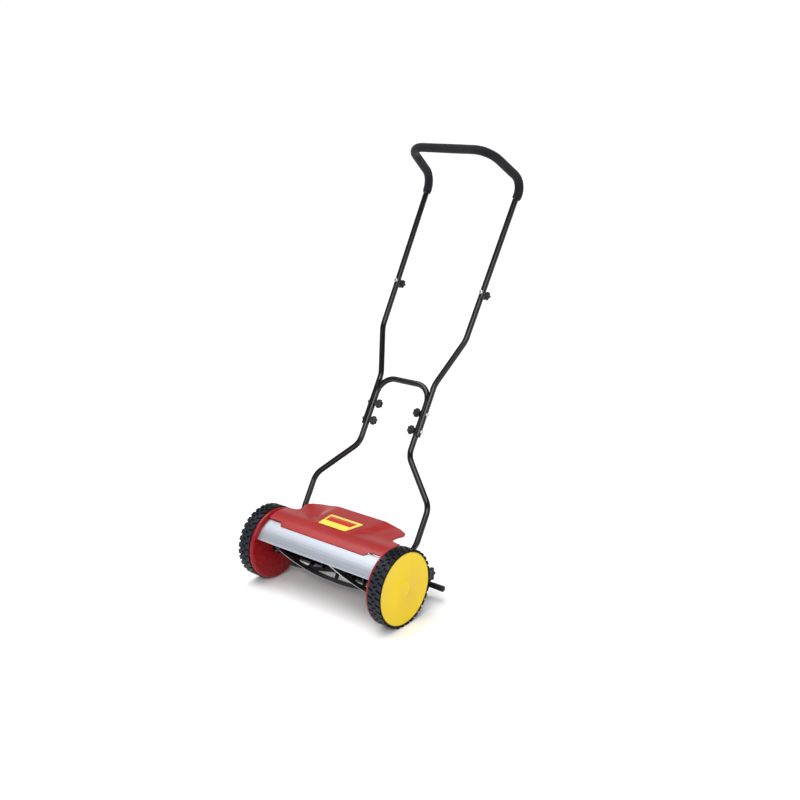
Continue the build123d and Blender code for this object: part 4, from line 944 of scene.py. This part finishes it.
# ---- cover
def profile_height(y):
    """Cubic through the cover's side profile."""
    points = COVER_PROFILE
    i = max(k for k in range(len(points) - 1) if points[k][0] <= y or k == 0)
    slopes = []
    for k in (i, i + 1):
        before, after = points[max(0, k - 1)], points[min(len(points) - 1, k + 1)]
        slopes.append((after[1] - before[1]) / (after[0] - before[0]))
    wide = points[i + 1][0] - points[i][0]
    t = min(1.0, max(0.0, (y - points[i][0]) / wide))
    return ((2 * t ** 3 - 3 * t ** 2 + 1) * points[i][1]
            + (t ** 3 - 2 * t ** 2 + t) * wide * slopes[0]
            + (-2 * t ** 3 + 3 * t ** 2) * points[i + 1][1]
            + (t ** 3 - t ** 2) * wide * slopes[1])


def cover_top(x, y):
    """Height of the cover: its profile, with the bonnet's flat deck raised in the middle."""
    total = 0.0
    for (px, py), (nx, ny) in BONNET_WALLS:
        inside = ((abs(x) - px) * nx + (y - py) * ny) / math.hypot(nx, ny)
        total += math.exp(-max(-BONNET_REACH, min(BONNET_REACH, inside)) / BONNET_SOFT)
    inside = -BONNET_SOFT * math.log(total)
    fade = eased((y - BONNET_FADE[0]) / (BONNET_FADE[1] - BONNET_FADE[0]))
    return between(profile_height(y), BONNET_TOP, eased(inside / between(*BONNET_RUN, fade)))


def flange(side):
    """Screwed flange under the cover, against the side plate."""
    out = PLATE_X / MM
    rings = []
    for x, shrink in ((out, FLANGE_EDGE), (out - FLANGE_EDGE, 0.0),
                      (out - FLANGE_THICK + FLANGE_EDGE, 0.0), (out - FLANGE_THICK, FLANGE_EDGE)):
        half = FLANGE_HALF - shrink
        ring = [(side * x, y, FLANGE_LOW + shrink) for y in (-half, half)]
        for k in range(2 * FLANGE_STEPS + 1):
            y = half - k * half / FLANGE_STEPS
            ring.append((side * x, y, profile_height(y) - FLANGE_SINK))
        rings.append([Vector(p) * MM for p in ring])
    return skin("flange", rings)


def cover():
    """Moulded top cover: rounded tail, side notches, soft bonnet, flanges."""
    left = [((-x, y), r) for (x, y), r in reversed(COVER_OUTLINE)]
    outline = resampled(rounded([*COVER_OUTLINE, *left], CORNER_STEPS), COVER_RIM_GAP)
    sheet = moulded_sheet("cover_moulded", outline, cover_top, COVER_THICK, COVER_GAP, COVER_EDGES)
    piece = joined(sheet, flange(1), flange(-1))
    finished(sharpen(piece), "red_cover", "frame", "cover")


# ---- label
def film(name, corners, top, thick):
    """Flat film with rounded corners."""
    outline = [p + LABEL_MIDDLE for p in rounded(corners, CORNER_STEPS)]
    edges = (min(FILM_TOP_EDGE, thick / 3), FILM_LOW_EDGE)
    return moulded_sheet(name, resampled(outline, FILM_RIM_GAP), lambda x, y: top, thick,
                         FILM_GAP, edges)


def label():
    """Plain yellow plate with a plain red panel in its rear half, stuck on the deck."""
    plate = film("label_plate_film", LABEL_CORNERS, LABEL_TOP - PRINT_STANDS, LABEL_THICK)
    finished(sharpen(plate), "label_yellow", "frame", "label_plate")
    panel = film("label_print", PRINT_CORNERS, LABEL_TOP, PRINT_THICK)
    finished(panel, "label_yellow", "frame", material=RED_PRINT)


# ---- guard
def front_guard():
    """Curved aluminium sheet with a rolled lower hem."""
    def at(radius, degrees):
        angle = math.radians(degrees)
        return radius * math.cos(angle), AXLE_Z / MM + radius * math.sin(angle)

    sweep = [between(GUARD_FROM, GUARD_TO, k / GUARD_STEPS) for k in range(GUARD_STEPS + 1)]
    loop = [at(GUARD_R - GUARD_SHEET / 2, GUARD_FROM - GUARD_LIP)]
    loop += [at(GUARD_R, a) for a in sweep[:-1]]
    middle = at(GUARD_R - HEM_R, GUARD_TO)
    for k in range(HEM_STEPS + 1):
        angle = math.radians(GUARD_TO + HEM_TURN * k / HEM_STEPS)
        loop.append((middle[0] + HEM_R * math.cos(angle), middle[1] + HEM_R * math.sin(angle)))
    loop += [at(GUARD_R - GUARD_SHEET, a) for a in reversed(sweep[:-HEM_CLEAR])]
    half = PLATE_X / MM
    places = [-half, GUARD_SIDE_EDGE - half]
    places += [between(-half, half, k / GUARD_SLICES) for k in range(1, GUARD_SLICES)]
    places += [half - GUARD_SIDE_EDGE, half]
    rings = [[Vector((x, y, z)) * MM for y, z in loop] for x in places]
    piece = skin("front_guard_rolled", rings)
    finished(sharpen(piece, TREAD_CREASE), "guard_aluminium", "frame", "front_guard")


# ---- carried-over nodes
def smoothing():
    """Modifier nodes that shade a welded copy smooth, except across sharper edges."""
    group = bpy.data.node_groups.new("smooth_by_angle", "GeometryNodeTree")
    for way in ("INPUT", "OUTPUT"):
        group.interface.new_socket("Geometry", in_out=way, socket_type="NodeSocketGeometry")
    start, weld, faces, edges, angle, below, end = (group.nodes.new(kind) for kind in (
        "NodeGroupInput", "GeometryNodeMergeByDistance", "GeometryNodeSetShadeSmooth",
        "GeometryNodeSetShadeSmooth", "GeometryNodeInputMeshEdgeAngle", "FunctionNodeCompare",
        "NodeGroupOutput"))
    weld.inputs["Distance"].default_value = CAD_WELD
    faces.domain = "FACE"
    edges.domain = "EDGE"
    below.data_type = "FLOAT"
    below.operation = "LESS_THAN"
    below.inputs["B"].default_value = math.radians(CAD_SMOOTH)
    for source, target in (
        (start.outputs[0], weld.inputs["Geometry"]),
        (weld.outputs["Geometry"], faces.inputs["Geometry"]),
        (faces.outputs["Geometry"], edges.inputs["Geometry"]),
        (angle.outputs["Unsigned Angle"], below.inputs["A"]),
        (below.outputs["Result"], edges.inputs["Shade Smooth"]),
        (edges.outputs["Geometry"], end.inputs[0]),
    ):
        group.links.new(source, target)
    return group


def finish_cad_nodes():
    """Give every CAD node the material of its slot and smooth shading by angle."""
    group = smoothing()
    for part in frame["record"]["subparts"]:
        node = NODES[part["node"]]
        node.data.materials.clear()
        node.data.materials.append(FINISH[part["material_slot"]])
        node.modifiers.new("smooth_by_angle", "NODES").node_group = group


# ---- studio and camera
def surround():
    """White near the horizon, dimmer overhead."""
    world = bpy.data.worlds.new("surround")
    bpy.context.scene.world = world
    world.use_nodes = True
    tree = world.node_tree
    coords, parts, ramp = (tree.nodes.new(f"ShaderNode{kind}")
                           for kind in ("TexCoord", "SeparateXYZ", "MapRange"))
    sockets = ("From Min", "From Max", "To Min", "To Max")
    for socket, number in zip(sockets, (*SKY_BAND, *SKY_LIGHT)):
        ramp.inputs[socket].default_value = number
    background = tree.nodes["Background"]
    background.inputs["Color"].default_value = (1.0, 1.0, 1.0, 1.0)
    tree.links.new(coords.outputs["Generated"], parts.inputs["Vector"])
    tree.links.new(parts.outputs["Z"], ramp.inputs["Value"])
    tree.links.new(ramp.outputs["Result"], background.inputs["Strength"])


def paper_floor():
    """Plain pale floor, which isn't part of the mower."""
    bpy.ops.mesh.primitive_plane_add(size=FLOOR_SIZE, location=(0, 0, 0))
    floor = bpy.context.object
    floor.name = "floor"
    g = Graph("floor_paper")
    tone = g.mixed(g.noise(3, 3), *((grey, grey, grey) for grey in FLOOR_TONES))
    floor.data.materials.append(g.set(Base_Color=tone, Roughness=0.8, Specular_IOR_Level=0.1))


def placed(data, at, turn):
    """Object for a lamp or camera at a place, turned by a quaternion."""
    holder = bpy.data.objects.new(data.name, data)
    bpy.context.scene.collection.objects.link(holder)
    holder.location = at
    holder.rotation_euler = turn.to_euler()
    return holder


def lamps():
    """A broad soft sun and two soft boxes, all aimed at the mower's base."""
    sun = bpy.data.lights.new("sun", "SUN")
    sun.energy = SUN_POWER
    sun.angle = math.radians(SUN_ANGLE)
    made = [(sun, SUN_AT)]
    for name, at, wide, tall, power in BOXES:
        box = bpy.data.lights.new(name, "AREA")
        box.shape = "RECTANGLE"
        box.size = wide
        box.size_y = tall
        box.energy = power
        made.append((box, at))
    for lamp, at in made:
        placed(lamp, at, (Vector(LAMPS_AIM) - Vector(at)).to_track_quat("-Z", "Y"))


def camera():
    """Camera at the photograph's viewing angle."""
    azimuth, elevation = math.radians(AZIMUTH), math.radians(ELEVATION)
    back = Vector((math.sin(azimuth) * math.cos(elevation),
                   -math.cos(azimuth) * math.cos(elevation), math.sin(elevation)))
    lens = bpy.data.cameras.new("camera")
    lens.lens = LENS
    lens.sensor_width = SENSOR_WIDE
    lens.clip_end = VIEW_DISTANCE
    bpy.context.scene.camera = placed(lens, CAMERA_AT, (-back).to_track_quat("-Z", "Y"))


def build():
    """Every piece that stands for a CAD node, and the label's print."""
    for side, word in SIDES:
        tyre(side, word)
        wheel_cover(side, word)
        for level in ("low", "high"):
            knob(f"neck_knob_{level}_{word}", -side, *HAND_LOBES)
        knob(f"joint_knob_{word}", -1, *HAND_LOBES)
        knob(f"star_knob_{word}", side, *STAR_LOBES)
        mid_tube(side, word)
    adjuster_grip()
    lower_handle()
    upper_handle()
    foam_grip()
    cover()
    label()
    front_guard()


finish_cad_nodes()
build()
surround()
paper_floor()
lamps()
camera()
bpy.context.scene.view_settings.view_transform = "Standard"
